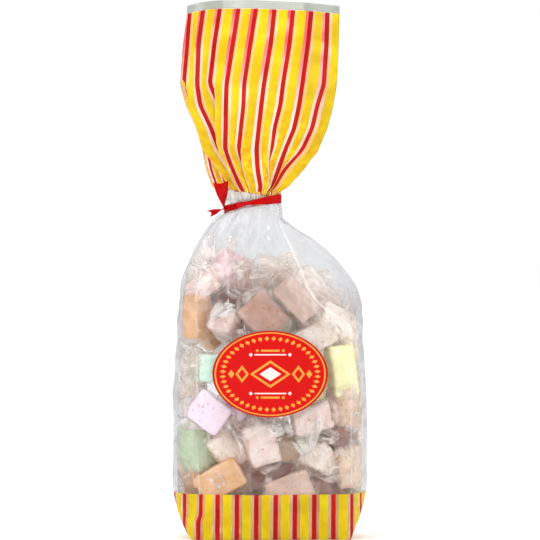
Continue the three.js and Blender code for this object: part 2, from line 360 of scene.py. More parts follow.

# %% [markdown]
# ## The print
# The bag is printed with upright stripes of opaque yellow and red ink, in a band at its base and
# above the tie. A printed picture could be wrapped round the bag. Here the stripes are worked
# out from the millimetres of the flat film, so they stay sharp and follow every fold. Between
# them the film is painted with pale tones: painted light that stands in for the printed walls
# and the sweets behind it as they show through, lit.

# %% Print on the film
STRIPE_PERIOD = 13.4
RED_HALF = 1.6
YELLOW_HALF = 3.0
BAND_TOP = 31.7
PRINT_BOTTOM = 240.5
PRINT_TOP = HEIGHT - 6.0
PRINT_SLANT = 0.05
INK_COVER = 0.985
# The tone near the mouth fades out between these heights, and so do the gathers above the tie.
MOUTH_TONE_FADES = (350, 295)
GATHERS_FADE = (246, 318)
# Sizes in mm of the patches in which the pale tones, the coat of ink and its gathers change.
TONE_PATCH = 100 / 3
COAT_PATCH = 50 / 3
GATHER_PATCH = 6.25


def add_print(tree, film, normal, see_through_light):
    """Yellow and red upright stripes in two printed zones, with clear film between the zones."""
    flat = add_node(tree, "ShaderNodeAttribute", attribute_name="flat_mm").outputs["Vector"]
    parts = add_node(tree, "ShaderNodeSeparateXYZ", [flat])
    across = parts.outputs["X"]
    height = parts.outputs["Y"]
    turns = add_node(tree, "ShaderNodeMath", (across, 1 / STRIPE_PERIOD, 0.5), operation="MULTIPLY_ADD")
    phase = add_node(tree, "ShaderNodeMath", [turns], operation="FRACT")
    red = add_node(tree, "ShaderNodeMath", (phase, 0.5, RED_HALF / STRIPE_PERIOD), operation="COMPARE")
    distance = add_node(tree, "ShaderNodeMath", (phase, 0.5), operation="SUBTRACT")
    distance = add_node(tree, "ShaderNodeMath", [distance], operation="ABSOLUTE")
    yellow_start = 0.5 - YELLOW_HALF / STRIPE_PERIOD
    yellow = add_node(tree, "ShaderNodeMath", (distance, yellow_start), operation="GREATER_THAN")
    stripes = add_node(tree, "ShaderNodeMath", (red, yellow), operation="ADD")
    low = add_node(tree, "ShaderNodeMath", (height, BAND_TOP), operation="LESS_THAN")
    # The print of the fan starts a little lower at the right, down at the tie.
    slanted = add_node(tree, "ShaderNodeMath", (across, PRINT_SLANT, height), operation="MULTIPLY_ADD")
    above_tie = add_node(tree, "ShaderNodeMath", (slanted, PRINT_BOTTOM), operation="GREATER_THAN")
    below_mouth = add_node(tree, "ShaderNodeMath", (height, PRINT_TOP), operation="LESS_THAN")
    high = add_node(tree, "ShaderNodeMath", (above_tie, below_mouth), operation="MULTIPLY")
    zone = add_node(tree, "ShaderNodeMath", (low, high), operation="ADD")
    cover = add_node(tree, "ShaderNodeMath", (stripes, zone), operation="MULTIPLY")
    cover = add_node(tree, "ShaderNodeMath", (cover, INK_COVER), operation="MULTIPLY")
    # Pale tones are painted light between the stripes, standing in for the printed walls and sweets behind
    # as they show through, lit. They are pink at the left of each red stripe near the mouth, and peach at
    # its right.
    mouth_tone, lower_tone, right_tone, strength = [linear(c) for c in see_through_light[:3]] + [see_through_light[3]]
    near_mouth = add_node(tree, "ShaderNodeMapRange", (height, *MOUTH_TONE_FADES, 1, 0))
    tone = add_node(tree, "ShaderNodeMix", (near_mouth, lower_tone, mouth_tone), data_type="RGBA")
    right_side = add_node(tree, "ShaderNodeMath", (phase, 0.5), operation="GREATER_THAN")
    tone = add_node(tree, "ShaderNodeMix", (right_side, tone, right_tone), data_type="RGBA")
    # They are painted brighter in patches that come and go.
    tone_cloud = add_node(
        tree, "ShaderNodeTexNoise", {"Vector": flat, "Scale": 1 / TONE_PATCH, "Detail": 2.0})
    brighter = add_node(tree, "ShaderNodeMapRange", (tone_cloud, 0.62, 0.48, 1, 0))
    brighter = add_node(tree, "ShaderNodeMath", (brighter, high), operation="MULTIPLY")
    tone = add_node(tree, "ShaderNodeMix", (brighter, tone, linear("#FFE6CC")), data_type="RGBA")
    pale = add_node(tree, "ShaderNodeBsdfDiffuse", {"Color": tone, "Normal": normal})
    see_through_share = add_node(tree, "ShaderNodeMath", (zone, strength), operation="MULTIPLY")
    film = add_node(tree, "ShaderNodeMixShader", (see_through_share, film, pale))
    # The coat of ink is a little uneven, thicker in some places and thinner in others.
    coat_cloud = add_node(
        tree, "ShaderNodeTexNoise", {"Vector": flat, "Scale": 1 / COAT_PATCH, "Detail": 3.0})
    thick = add_node(tree, "ShaderNodeMapRange", (coat_cloud, 0.68, 0.4, 1, 0))
    yellow_ink, red_ink = [
        add_node(tree, "ShaderNodeMix", (thick, linear(thin), linear(full)), data_type="RGBA")
        for thin, full in (("#E2C80C", "#F2DF18"), ("#B60806", "#CC0A07"))]
    # Where the film is gathered above the tie, several coats lie on each other and look deeper: the yellow
    # is painted deeper orange in patches there, partly for the layered ink and partly as painted shade in
    # the gathers.
    gather_cloud = add_node(
        tree, "ShaderNodeTexNoise", {"Vector": flat, "Scale": 1 / GATHER_PATCH, "Detail": 3.0})
    near_tie = add_node(tree, "ShaderNodeMapRange", (height, *GATHERS_FADE, 1, 0))
    fold_shade = add_node(tree, "ShaderNodeMapRange", (gather_cloud, 0.62, 0.42, 1, 0))
    deep = add_node(tree, "ShaderNodeMath", (near_tie, fold_shade), operation="MULTIPLY")
    deep = add_node(tree, "ShaderNodeMath", (deep, high), operation="MULTIPLY")
    yellow_ink = add_node(tree, "ShaderNodeMix", (deep, yellow_ink, linear("#DDA004")), data_type="RGBA")
    colour = add_node(tree, "ShaderNodeMix", (red, yellow_ink, red_ink), data_type="RGBA")
    coat = add_node(
        tree, "ShaderNodeBsdfPrincipled",
        {"Base Color": colour, "Roughness": 0.45, "IOR": 1.45, "Specular IOR Level": 0.2,
         "Normal": normal})
    # A thin coat of ink also glows with light from behind.
    lit_through = add_node(tree, "ShaderNodeBsdfTranslucent", {"Color": colour, "Normal": normal})
    ink = add_node(tree, "ShaderNodeMixShader", (0.4, coat, lit_through))
    return add_node(tree, "ShaderNodeMixShader", (cover, film, ink))


print("one red stripe in each", STRIPE_PERIOD, "mm, so", round(2 * TUBE_HALF / STRIPE_PERIOD), "round")

# %% [markdown]
# ## Clear film
# The film is cast polypropylene about 0.03 mm thick: clear, very glossy, and milky along the
# lines where it was creased. One sheet is drawn as a single layer of faces. A glass shader would
# bend the view as a solid block does, so the film lets light straight through and adds a gloss on
# top.

# %% Material of the film
def crumple_facets(tree, place, size):
    """Height of a crumpled sheet: flat facets about size across, with sharp valleys between."""
    scaled = add_node(tree, "ShaderNodeVectorMath", (place, 1 / size), operation="SCALE")
    return add_node(
        tree, "ShaderNodeTexVoronoi", {"Vector": scaled, "Scale": 1.0}, feature="DISTANCE_TO_EDGE")


def clear_film(name, tint, hazes, mark_colours, mirrors, crease_size, relief, see_through_light):
    """hazes say how milky the film is all over, in its cloudy patches and along its marks, and
    mark_colours the colour of its haze, which is also painted grey shade where the marks are below
    0, and the colour of its creases, which is also their painted highlight. mirrors say how much it
    mirrors head on and edge on. Its crumples are crease_size mm across and relief mm high. wash is
    for printed film: the pale tones painted as light between its stripes, left of its red stripes,
    near the mouth and lower down, the one right of them, and how strong they are."""
    haze, cloud_haze, mark_haze = hazes
    haze_and_shade_colour, crease_and_highlight_colour = mark_colours
    head_on, edge_on = mirrors
    material, tree = new_material(name)
    place = add_node(tree, "ShaderNodeTexCoord").outputs["Object"]
    facets = crumple_facets(tree, place, crease_size * MM)
    cloud = add_node(
        tree, "ShaderNodeTexNoise",
        {"Vector": place, "Scale": 1 / (crease_size * MM), "Detail": 4.0, "Roughness": 0.6})
    height = add_node(tree, "ShaderNodeMath", (cloud, facets), operation="ADD")
    normal = add_node(
        tree, "ShaderNodeBump", {"Height": height, "Strength": 0.6, "Distance": relief * MM})
    # The third value of flat_mm says how strongly a point is marked: above 0 the film is creased milky and
    # painted with highlights, and below 0 it is painted with grey shade.
    flat = add_node(tree, "ShaderNodeAttribute", attribute_name="flat_mm").outputs["Vector"]
    marking = add_node(tree, "ShaderNodeSeparateXYZ", [flat]).outputs["Z"]
    strongly = add_node(tree, "ShaderNodeMath", [marking], operation="ABSOLUTE")
    cloudy = add_node(tree, "ShaderNodeMapRange", (cloud, 0.68, 0.42, 1, 0))
    even = add_node(tree, "ShaderNodeMath", (cloudy, cloud_haze, haze), operation="MULTIPLY_ADD")
    milk = add_node(tree, "ShaderNodeMath", (strongly, mark_haze, even), operation="MULTIPLY_ADD")
    milk = add_node(tree, "ShaderNodeClamp", {"Value": milk, "Max": 0.8})
    # Cast film has no colour of its own. Creased film scatters light to both of its sides, and the marks
    # paint it white as creases and highlights, or grey as shade.
    see_through = add_node(tree, "ShaderNodeBsdfTransparent", {"Color": linear(tint)})
    haze_and_shade_tone = add_node(
        tree, "ShaderNodeMix", (marking, linear(haze_and_shade_colour), linear(crease_and_highlight_colour)), data_type="RGBA")
    front = add_node(tree, "ShaderNodeBsdfDiffuse", {"Color": haze_and_shade_tone, "Normal": normal})
    behind = add_node(tree, "ShaderNodeBsdfTranslucent", {"Color": haze_and_shade_tone, "Normal": normal})
    milky = add_node(tree, "ShaderNodeMixShader", (0.45, front, behind))
    # Film mirrors only a few hundredths of the light head on, and much more of it edge on.
    turned = add_node(tree, "ShaderNodeLayerWeight", {"Blend": 0.5, "Normal": normal}).outputs["Facing"]
    steep = add_node(tree, "ShaderNodeMath", (turned, 4.0), operation="POWER")
    mirror = add_node(tree, "ShaderNodeMath", (steep, edge_on - head_on, head_on), operation="MULTIPLY_ADD")
    gloss = add_node(tree, "ShaderNodeBsdfGlossy", {"Roughness": 0.14, "Normal": normal})
    body = add_node(tree, "ShaderNodeMixShader", (milk, see_through, milky))
    surface = add_node(tree, "ShaderNodeMixShader", (mirror, body, gloss))
    if see_through_light:
        surface = add_print(tree, surface, normal, see_through_light)
    add_node(tree, "ShaderNodeOutputMaterial", {"Surface": surface})
    return material


# Cast polypropylene: nearly invisible head on, grey where it turns away, from its gloss and from painted
# grey shade, and white at its creases, which are milky and carry painted highlights.
bag_film = clear_film(
    "cast_polypropylene_printed", tint="#F6F7F8", hazes=(0.01, 0.04, 0.5),
    mark_colours=("#BEC0C8", "#FFFFFF"), mirrors=(0.06, 0.8), crease_size=24, relief=2.0,
    see_through_light=("#EEC096", "#EEC096", "#E2A468", 0.42))
# The same film in four layers lets less light through, and its print covers it nearly all over.
# Its grey haze colour paints the shade of the clear strip at the mouth, and its pale crease colour the
# painted light in the gaps between the stripes.
fan_film_printed = clear_film(
    "cast_polypropylene_fan", tint="#F6F7F6", hazes=(0.05, 0.02, 0.5),
    mark_colours=("#C4C8C0", "#FFF2E6"), mirrors=(0.03, 0.3), crease_size=24, relief=0.8,
    see_through_light=("#FF5C6C", "#FFE2DC", "#FFC880", 0.52))
# Twist wrap is thinner and softer, so it crumples finer and turns milky all over its creases.
wrap_film = clear_film(
    "twist_wrap_film", tint="#FFFFFF", hazes=(0.02, 0.12, 0.7),
    mark_colours=("#F0E0D4", "#FFFDFA"), mirrors=(0.04, 0.4), crease_size=13, relief=1.5,
    see_through_light=None)
print("films:", bag_film.name, fan_film_printed.name, wrap_film.name)

# %% [markdown]
# ## Pleats and creases
# Film that holds sharp blocks is never smooth: it has straight creases where it was folded,
# pleats that run down from the tied neck, and wrinkles between them. A cloth simulation would
# make some of them, but the folds of a bag lie in known places, so they are drawn there. Pleats
# are moved points. Creases are marks that the film's material turns milky. The same marks also
# paint highlights along the folds and wrinkles, and grey shade in their dips and at the sides.

# %% Pleats and marks of the body film
CROSS_LINE_HEIGHT = 55
PLEATS_START = 172
COARSE_PLEATS = 11
FINE_PLEATS = 23


def ridge(value):
    """A row of sharp folds: 1 on each crest and -1 in each dip."""
    return 1 - 4 * np.abs(value - np.floor(value) - 0.5)


def pleat_relief(around, z):
    gather = smooth(z, PLEATS_START, NECK_BOTTOM_LEFT)
    turn = around / (2 * TUBE_HALF)
    wander = 0.02 * np.sin(z / 11 + 9 * turn)
    coarse = ridge(COARSE_PLEATS * (turn + wander) + 0.2)
    fine = ridge(FINE_PLEATS * (turn - wander) + 0.7)
    return gather ** 1.5 * (1.3 * coarse + 0.7 * fine)


def crease_marks(around, z):
    """How strongly the film is marked: up to 1 where it is creased milky and painted with
    highlights, and down to -1 where it is painted with grey shade, in the dips of wrinkles and
    where it turns away at the sides of the bag."""
    # The four fold lines are milky and painted with highlights, stronger in some patches than in others,
    # and a faint painted white line runs across the front.
    corner = np.abs(np.abs(np.abs(around) - TUBE_HALF / 2) - GUSSET_WIDTH / 2)
    patchy = smooth(noise_at(np.stack([0 * z, z / 30, around / 90], -1), 1, 5), -0.4, 0.4)
    folds = lerp(0.25, 0.9, patchy) * (1 - smooth(corner, 0.2, 0.9))
    cross_line = 0.25 * (1 - smooth(np.abs(z - CROSS_LINE_HEIGHT), 0.2, 0.7)) * (around > 10) * (around < 75)
    # The right crease carries a painted white highlight, strongest where it swings in.
    swung_highlight = 1.1 * (1 - smooth(np.abs(around - PANEL_HALF), 0.6, 1.8)) * smooth(z, 140, 150)
    # Upright wrinkles and slanted streaks run over the shoulders, painted with highlights on their crests
    # and with grey shade in their dips.
    fine = noise_at(np.stack([around / 14, z / 34, 0 * z], -1), 1, 8)
    slanted = np.stack([(around + z) / 16, (z - around) / 60, 0 * z], -1)
    broad = noise_at(slanted, 1, 9)
    wrinkle_light_and_shade = 0.45 * smooth(fine, 0.0, 0.6) - 0.4 * smooth(-fine, 0.0, 0.6)
    streaks = 0.45 * smooth(broad, 0.0, 0.5) - 0.5 * smooth(-broad, 0.0, 0.5)
    marks = wrinkle_light_and_shade * smooth(z, 165, 225) + streaks * smooth(z, 130, 175)
    # The film is painted with grey shade at its sides, where it turns away, and it is milky where it is
    # gathered below the tie.
    side = 1 - smooth(np.abs(np.abs(around) - TUBE_HALF / 2), 9, 24)
    side_shade = 0.75 * side * (1 - 0.75 * smooth(z, 145, 190))
    gathered = 0.6 * smooth(z, 205, 236) + 0.4 * smooth(z, 236, 239)
    return np.clip(folds + cross_line + swung_highlight + marks * (1 - gathered) + gathered - side_shade, -1, 1)


crease_mark = crease_marks(np.array([PANEL_HALF]), np.array([90.0]))[0]
print("the right crease is marked", round(float(crease_mark), 2), "at 90 mm up")

# %% [markdown]
# ## The body of the bag
# The body is one sheet from the block bottom to the neck, with shallow dents all over, flat
# under the label and pulled in under the ribbon. The dents are moved points on one dense grid,
# because a bump in the shader alone would leave a smooth outline.

# %% The body film
PANEL_COLUMNS = 140
GUSSET_COLUMNS = 50
STRAIGHT_ROWS = 130
SHOULDER_ROWS = 90
PRINT_OFFSET = 0.8
TIE_HEIGHT = 237.4


def under_label(points):
    """1 under the label, falling to 0 round it."""
    middle = (label_low + label_high) / 2 / MM
    half = (label_high - label_low) / 2 / MM
    x = (points[..., 0] - middle.x) / half.x
    z = (points[..., 2] - middle.z) / half.z
    return (points[..., 1] < 0) * (1 - smooth(np.sqrt(x * x + z * z), 1.0, 1.25))


def band_height(x):
    """Height of the middle of the ribbon round the neck: it slopes down to its twist."""
    return TIE_HEIGHT + 0.14 * (x - NECK_RIGHT) - 2.0 * smooth(-x, 16, 32)


def body_film():
    counts = (PANEL_COLUMNS, GUSSET_COLUMNS, PANEL_COLUMNS, GUSSET_COLUMNS)
    edges = np.cumsum([-PANEL_HALF, 2 * PANEL_HALF, GUSSET_WIDTH, 2 * PANEL_HALF, GUSSET_WIDTH])
    stretches = [np.linspace(a, b, n, endpoint=False) for a, b, n in zip(edges, edges[1:], counts)]
    flat_x = np.concatenate(stretches)
    around = np.where(flat_x > TUBE_HALF, flat_x - 2 * TUBE_HALF, flat_x)
    heights = np.concatenate([
        np.linspace(0, SHOULDER_START, STRAIGHT_ROWS, endpoint=False),
        np.linspace(SHOULDER_START, NECK_TOP, SHOULDER_ROWS)])
    grid_around, grid_z = np.meshgrid(around, heights)
    grid = body_point(grid_around, grid_z)
    normals = grid_normals(grid, True)
    # The film is calm under the label and at the base, and nearly so in the neck.
    calm = 1 - 0.9 * under_label(grid)
    settle = smooth(grid_z, 2, 30)
    tied = 1 - smooth(grid_z, TIE_HEIGHT - 10, TIE_HEIGHT)
    dents = 1.3 * np.abs(noise_at(grid, 42, 1)) - 1.2 * np.abs(noise_at(grid, 27, 2))
    creases = 0.5 * np.abs(noise_at(grid, 12, 3)) - 0.3 * np.abs(noise_at(grid, 6, 4))
    relief = (dents + creases) * calm * settle * lerp(0.3, 1, tied) + pleat_relief(grid_around, grid_z)
    # The left shoulder is a little hollow.
    relief = relief - 1.4 * np.exp(-((grid_z - 196) / 20) ** 2) * (grid[..., 0] < -30)
    # A small fold near the lower left corner moves the stripes there sideways.
    fold = smooth(grid_z, 12, 18) - smooth(grid_z, 30, 60)
    grid[..., 0] += 1.8 * fold * np.exp(-((grid_around + 55) / 8) ** 2)
    grid = grid + normals * relief[..., None]
    # The ribbon pulls the neck in.
    pulled = np.exp(-((grid_z - band_height(grid[..., 0])) / 4.5) ** 4)
    grid[..., 0] = lerp(grid[..., 0], (NECK_RIGHT - NECK_LEFT) / 2, 0.1 * pulled)
    grid[..., 1] *= 1 - 0.25 * pulled
    flat = np.stack([grid_around - PRINT_OFFSET, grid_z, crease_marks(grid_around, grid_z)], -1)
    faces = grid_faces(*grid.shape[:2], True)
    # The block bottom is a ladder of faces between the front and back edges of the tube.
    count = len(around)
    start = PANEL_COLUMNS + GUSSET_COLUMNS // 2
    ladder = [(start - i) % count for i in range(count // 2 + 1)]
    other = [(start + i) % count for i in range(count // 2 + 1)]
    bottom = [(ladder[i], ladder[i + 1], other[i + 1], other[i]) for i in range(1, count // 2 - 1)]
    faces = np.concatenate([faces, np.array(bottom)])
    return make_piece("film_body", grid, faces, bag_film, flat)


film_body = body_film()
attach(film_body, "root")
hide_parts("bag")

# %% [markdown]
# ## The fan above the tie
# Above the tie the four walls of the tube lie flat on each other again: front panel, two
# gussets folded in between, back panel. Where they run into the neck they fold over in pleats,
# and a pleat hides part of the print. A cloth simulation would choose its own folds, so they are
# laid one by one. A fold is made by letting the film run backwards for a few millimetres while it
# passes behind itself, so the stripes vanish under it as real ones do.

# %% Where the stripes of the fan run
FAN_LEVELS = (372, 347, 318, 303, 287, 272, 258, 244)
# Across the front sheet from left to right: the place on the flat film, how far it is tucked
# behind, the height where that begins, and its x at each level above. Multiples of the period
# are red stripes; the others are the sheet's edges and the two edges of each fold.
FAN_RUNS = (
    (-69.4, 2.5, 330, (-58.2, -61.3, -63.1, -56.0, -49.0, -44.5, -34.0, -26.0)),
    (-67.0, 1.9, 330, (-56.2, -57.9, -60.4, -55.4, -48.4, -43.9, -34.4, -26.4)),
    (-63.6, 0.8, 330, (-53.4, -55.3, -57.6, -58.2, -51.8, -47.5, -36.8, -28.0)),
    (-53.6, 1.2, 320, (-46.8, -50.1, -51.2, -49.0, -41.4, -35.8, -27.0, -22.0)),
    (-40.2, 1.6, 316, (-34.9, -38.9, -42.3, -35.5, -34.0, -33.5, -26.5, -21.8)),
    (-38.4, 1.6, 316, (-33.3, -37.2, -40.6, -33.5, -31.5, -31.0, -25.0, -21.0)),
    (-37.2, -0.3, 316, (-32.1, -36.0, -39.4, -38.4, -39.1, -36.9, -29.2, -24.2)),
    (-26.8, 0.0, 316, (-22.0, -25.9, -30.5, -31.0, -31.2, -31.6, -26.6, -20.2)),
    (-13.4, 1.4, 282, (-9.6, -13.6, -18.1, -18.6, -20.4, -22.0, -17.4, -12.4)),
    (-11.6, 1.6, 282, (-7.9, -11.9, -16.5, -17.2, -18.8, -20.4, -16.6, -12.0)),
    (-10.4, -0.3, 282, (-6.8, -10.8, -15.4, -16.0, -17.6, -20.9, -19.8, -14.8)),
    (0.0, 0.0, 282, (3.3, 0.6, -4.3, -6.2, -8.1, -9.7, -8.9, -6.6)),
    (10.8, -0.3, 276, (13.9, 11.3, 6.6, 4.7, 0.9, -0.8, -1.0, -0.5)),
    (13.4, 1.6, 276, (16.4, 13.8, 9.1, 7.2, 2.9, 1.3, -2.5, -2.0)),
    (16.0, 1.6, 276, (18.8, 16.3, 11.7, 9.8, 5.6, 3.0, -3.5, -3.0)),
    (26.8, 0.6, 276, (29.2, 26.7, 22.7, 20.4, 17.0, 10.8, 5.8, 1.2)),
    (40.2, 0.6, 276, (40.6, 39.9, 38.0, 33.3, 29.6, 22.7, 10.3, 1.6)),
    (49.0, 2.0, 330, (49.3, 48.7, 47.4, 45.0, 40.6, 34.2, 23.8, 11.4)),
)
BACK_LEFT_EDGE = (-58.2, -61.3, -63.1, -59.0, -51.8, -47.5, -44.9, -39.7)


def at_heights(run, z):
    """x of a run at heights z, with its corners eased over a few millimetres."""
    levels = FAN_LEVELS[::-1]
    shifts = np.linspace(-3, 3, 7)[:, None]
    return np.interp(z[None] + shifts, levels, run[::-1]).mean(0)


def fan_rails(z):
    """Flat places of the rails, and their x and their depth in rows for the heights z."""
    rails = []
    for place, back, start, run in FAN_RUNS:
        rails.append((place, at_heights(run, z), back * smooth(start - z, 0, 14)))
    sided = []
    # A red stripe gets a rail at each of its sides, so that it keeps its width.
    for i, (place, x, depth) in enumerate(rails):
        periods = place / STRIPE_PERIOD
        if i in (0, len(rails) - 1) or abs(periods - round(periods)) > 0.01:
            sided.append((place, x, depth))
            continue
        for side, near in ((-1, rails[i - 1]), (1, rails[i + 1])):
            share = min(RED_HALF / abs(near[0] - place), 0.9)
            reach = np.minimum(RED_HALF, max(share, 0.45) * np.abs(near[1] - x))
            sided.append((place + side * RED_HALF, x + side * reach, lerp(depth, near[2], share)))
    places, runs, depths = [np.array(part).T for part in zip(*sided)]
    return places, runs, depths


print(len(FAN_RUNS), "places are followed across the fan, at", len(FAN_LEVELS), "heights")

# %% [markdown]
# ## The front and the back of the fan
# The front sheet follows the runs above. Where they come close together the film has room to
# spare, and it stands up in flutes between the stripes. The back sheet is seen from behind and in
# the folds, and repeats the front a little to the left.

# %% Two sheets of the fan
FAN_PANEL_COLUMNS = 200
EASE_COLUMNS = 25
MOUTH_CREST = -31
MOUTH_ENDS = (-59.7, 49.3)


def fan_depth(z):
    """Half the gap between the front sheet and the back sheet."""
    puff = 2.4 * np.sin(math.pi * portion(z, NECK_TOP, FAN_START))
    return lerp(6.2, 0.9, portion(z, NECK_TOP - 4, FAN_START + 30)) + puff


def fan_gap(u, z):
    """The same across the sheets: it is widest at the middle and closes towards the edges."""
    share = (u - u[0]) / (u[-1] - u[0])
    bulge = 0.4 + 0.6 * (1 - np.abs(2 * share - 1) ** 3)
    return fan_depth(z)[:, None] * bulge


def fan_curve(x, z):
    """The fan bends back at its edges and waves a little along its mouth."""
    left = -left_reach(z)
    right = right_reach(z)
    across = (x - (left + right) / 2) / ((right - left) / 2)
    curl = np.where(across < 0, 10, 6) * np.abs(across) ** 3
    wave = 1.4 * np.sin(2 * math.pi * x / 37 + 0.4)
    return smooth(z, NECK_TOP, FAN_START) * (curl + wave)


def fan_front(z):
    """Flat places across the front sheet, and its x and y in rows from the neck up."""
    places, runs, depths = fan_rails(z)
    u = np.unique(np.concatenate([np.linspace(places[0], places[-1], FAN_PANEL_COLUMNS), places]))
    x = np.array([np.interp(u, places, row) for row in runs])
    depth = np.array([np.interp(u, places, row) for row in depths])
    squeeze = np.clip(np.gradient(x, axis=1) / np.gradient(u), 0, 1)
    kernel = np.ones(EASE_COLUMNS) / EASE_COLUMNS
    squeeze = [np.convolve(np.pad(row, EASE_COLUMNS // 2, "edge"), kernel, "valid") for row in squeeze]
    flute = 2.4 * np.sqrt(1 - np.clip(squeeze, 0, 1) ** 2) * smooth(332 - z, 0, 50)[:, None]
    wavy = np.sin(math.pi * u / STRIPE_PERIOD) ** 2 - 0.5
    half_gap = fan_gap(u, z)
    y = np.minimum(depth - half_gap - flute * wavy, 0.5 * half_gap)
    return u, x, y + fan_curve(x, z[:, None])


def fan_back(u, z):
    """The back sheet: the same stripes, a little to the left, so they show in the gaps."""
    places, runs, _ = fan_rails(z)
    shift = lerp(-2.5, -4.8, smooth(345 - z, 0, 45))
    runs = runs + shift[:, None]
    runs[:, 0] = at_heights(BACK_LEFT_EDGE, z)
    runs[:, -1] -= shift
    runs = np.maximum.accumulate(runs, axis=1)
    x = np.array([np.interp(u, places, row) for row in runs])
    return x, fan_gap(u, z) + fan_curve(x, z[:, None])


def mouth_drop(x, z):
    """The mouth is cut straight, but it sags from its crest to both of its ends."""
    left = (MOUTH_CREST - x) / (MOUTH_CREST - MOUTH_ENDS[0])
    right = (x - MOUTH_CREST) / (MOUTH_ENDS[1] - MOUTH_CREST)
    drop = np.where(x < MOUTH_CREST, 4 * left ** 2, 3.5 * right ** 2)
    return drop * portion(z, FAN_START, HEIGHT)


mouth_left = fan_front(np.array([HEIGHT]))[1][0, 0]
print("the mouth starts", round(float(-mouth_left)), "mm left of the middle")

# %% [markdown]
# ## The sheets of the fan
# The four sheets could be four meshes, but their edges would gape. So they are one grid that
# runs once round the tube, and the film is whole. The left gusset carries on the count of the
# stripes. Behind the right edge the print lines up with the front.

# %% The sheets of the fan
FAN_ROWS = 150
FAN_GUSSET_COLUMNS = 36
FAN_GUSSET = 29
CLOSING_HEIGHT = 247
CLOSING_SHARE = 0.7
# The fan's marks: a pale milk that paints light into the gaps between the stripes, and grey paint for the
# shade of the clear strip at the mouth.
GAP_LIGHT = 0.32
MOUTH_STRIP_SHADE = -1.0


def fan_film():
    heights = NECK_TOP - 6 + (HEIGHT - NECK_TOP + 6) * np.linspace(0, 1, FAN_ROWS) ** 1.1
    u, front_x, front_y = fan_front(heights)
    back_x, back_y = fan_back(u, heights)
    inward = np.linspace(0, 2, FAN_GUSSET_COLUMNS + 2)[None, 1:-1]
    folded_in = 1 - np.abs(inward - 1)
    tuck = FAN_GUSSET * lerp(0.25, 0.9, smooth(heights, NECK_TOP, FAN_START))[:, None]

    def gusset(edge, sign):
        edge_x = lerp(front_x[:, edge][:, None], back_x[:, edge][:, None], inward / 2)
        x = edge_x + sign * tuck * folded_in
        front_gap = front_y[:, edge] - fan_curve(front_x[:, edge], heights)
        back_gap = back_y[:, edge] - fan_curve(back_x[:, edge], heights)
        gap = lerp(front_gap[:, None], back_gap[:, None], inward / 2)
        return x, gap + fan_curve(x, heights[:, None])

    right_x, right_y = gusset(-1, -1)
    left_x, left_y = gusset(0, 1)
    right_flat = u[-1] - FAN_GUSSET * folded_in
    left_flat = u[0] - FAN_GUSSET * inward
    x = np.concatenate([front_x, right_x, back_x[:, ::-1], left_x[:, ::-1]], 1)
    y = np.concatenate([front_y, right_y, back_y[:, ::-1], left_y[:, ::-1]], 1)
    flat_row = np.concatenate([u, right_flat[0], u[::-1], left_flat[0, ::-1]])
    z = heights[:, None] + 0 * x
    # Just above the tie all sheets close in to the width of the neck.
    neck_middle = (NECK_RIGHT - NECK_LEFT) / 2
    closed = neck_middle + CLOSING_SHARE * (x - neck_middle)
    x = lerp(x, closed, smooth(CLOSING_HEIGHT - z, 0, 9))
    grid = np.stack([x, y, z - mouth_drop(x, z)], -1)
    normals = grid_normals(grid, True)
    gather = 1 - smooth(z, NECK_TOP, FAN_START - 20)
    folds = np.abs(noise_at(grid, 12, 6)) - 0.7 * np.abs(noise_at(grid, 5, 7))
    relief = lerp(0.06, 0.6, gather) * folds
    # Short wrinkles run across the pleats a little above the tie.
    across = noise_at(grid * np.array([0.35, 1, 1.6]), 9, 12)
    relief = relief + 1.2 * np.exp(-((z - 276) / 16) ** 2) * np.clip(across, 0, 1)
    grid = grid + normals * relief[..., None]
    # The printed film gets an even pale milk, painted light that brightens the gaps between its stripes.
    # The clear strip along the mouth is painted grey, as painted shade.
    marks = np.where(z < PRINT_TOP, GAP_LIGHT, MOUTH_STRIP_SHADE)
    # The gathered film is pulled up unevenly, so the lower end of the print is a wavy line.
    pulled = 1.2 * noise_at(np.stack([flat_row[None] + 0 * z, 0 * z, 0 * z], -1), 24, 13) * gather
    flat = np.stack([flat_row[None] + 0 * z, z + pulled, marks], -1)
    faces = grid_faces(*grid.shape[:2], True)
    return make_piece("film_fan", grid, faces, fan_film_printed, flat)


film_fan = fan_film()
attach(film_fan, "root")
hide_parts("bag")

# %% [markdown]
# ## Nougat
# Nougat is whipped egg white, sugar and honey with chopped nuts, cut into blocks with a knife.
# It is matt and a little rough, and each flavour has a pastel colour of its own. Nuts could be
# modelled one by one, but under two layers of film they are only small spots, so they are flecks
# of colour in the shader.

# %% Materials of the nougat
# Sizes in mm. The grain of real nougat is finer, but it would not show.
CLOUD_SIZE = 9
NUT_SPACING = 3.2
GRAIN_SIZE = 1.6


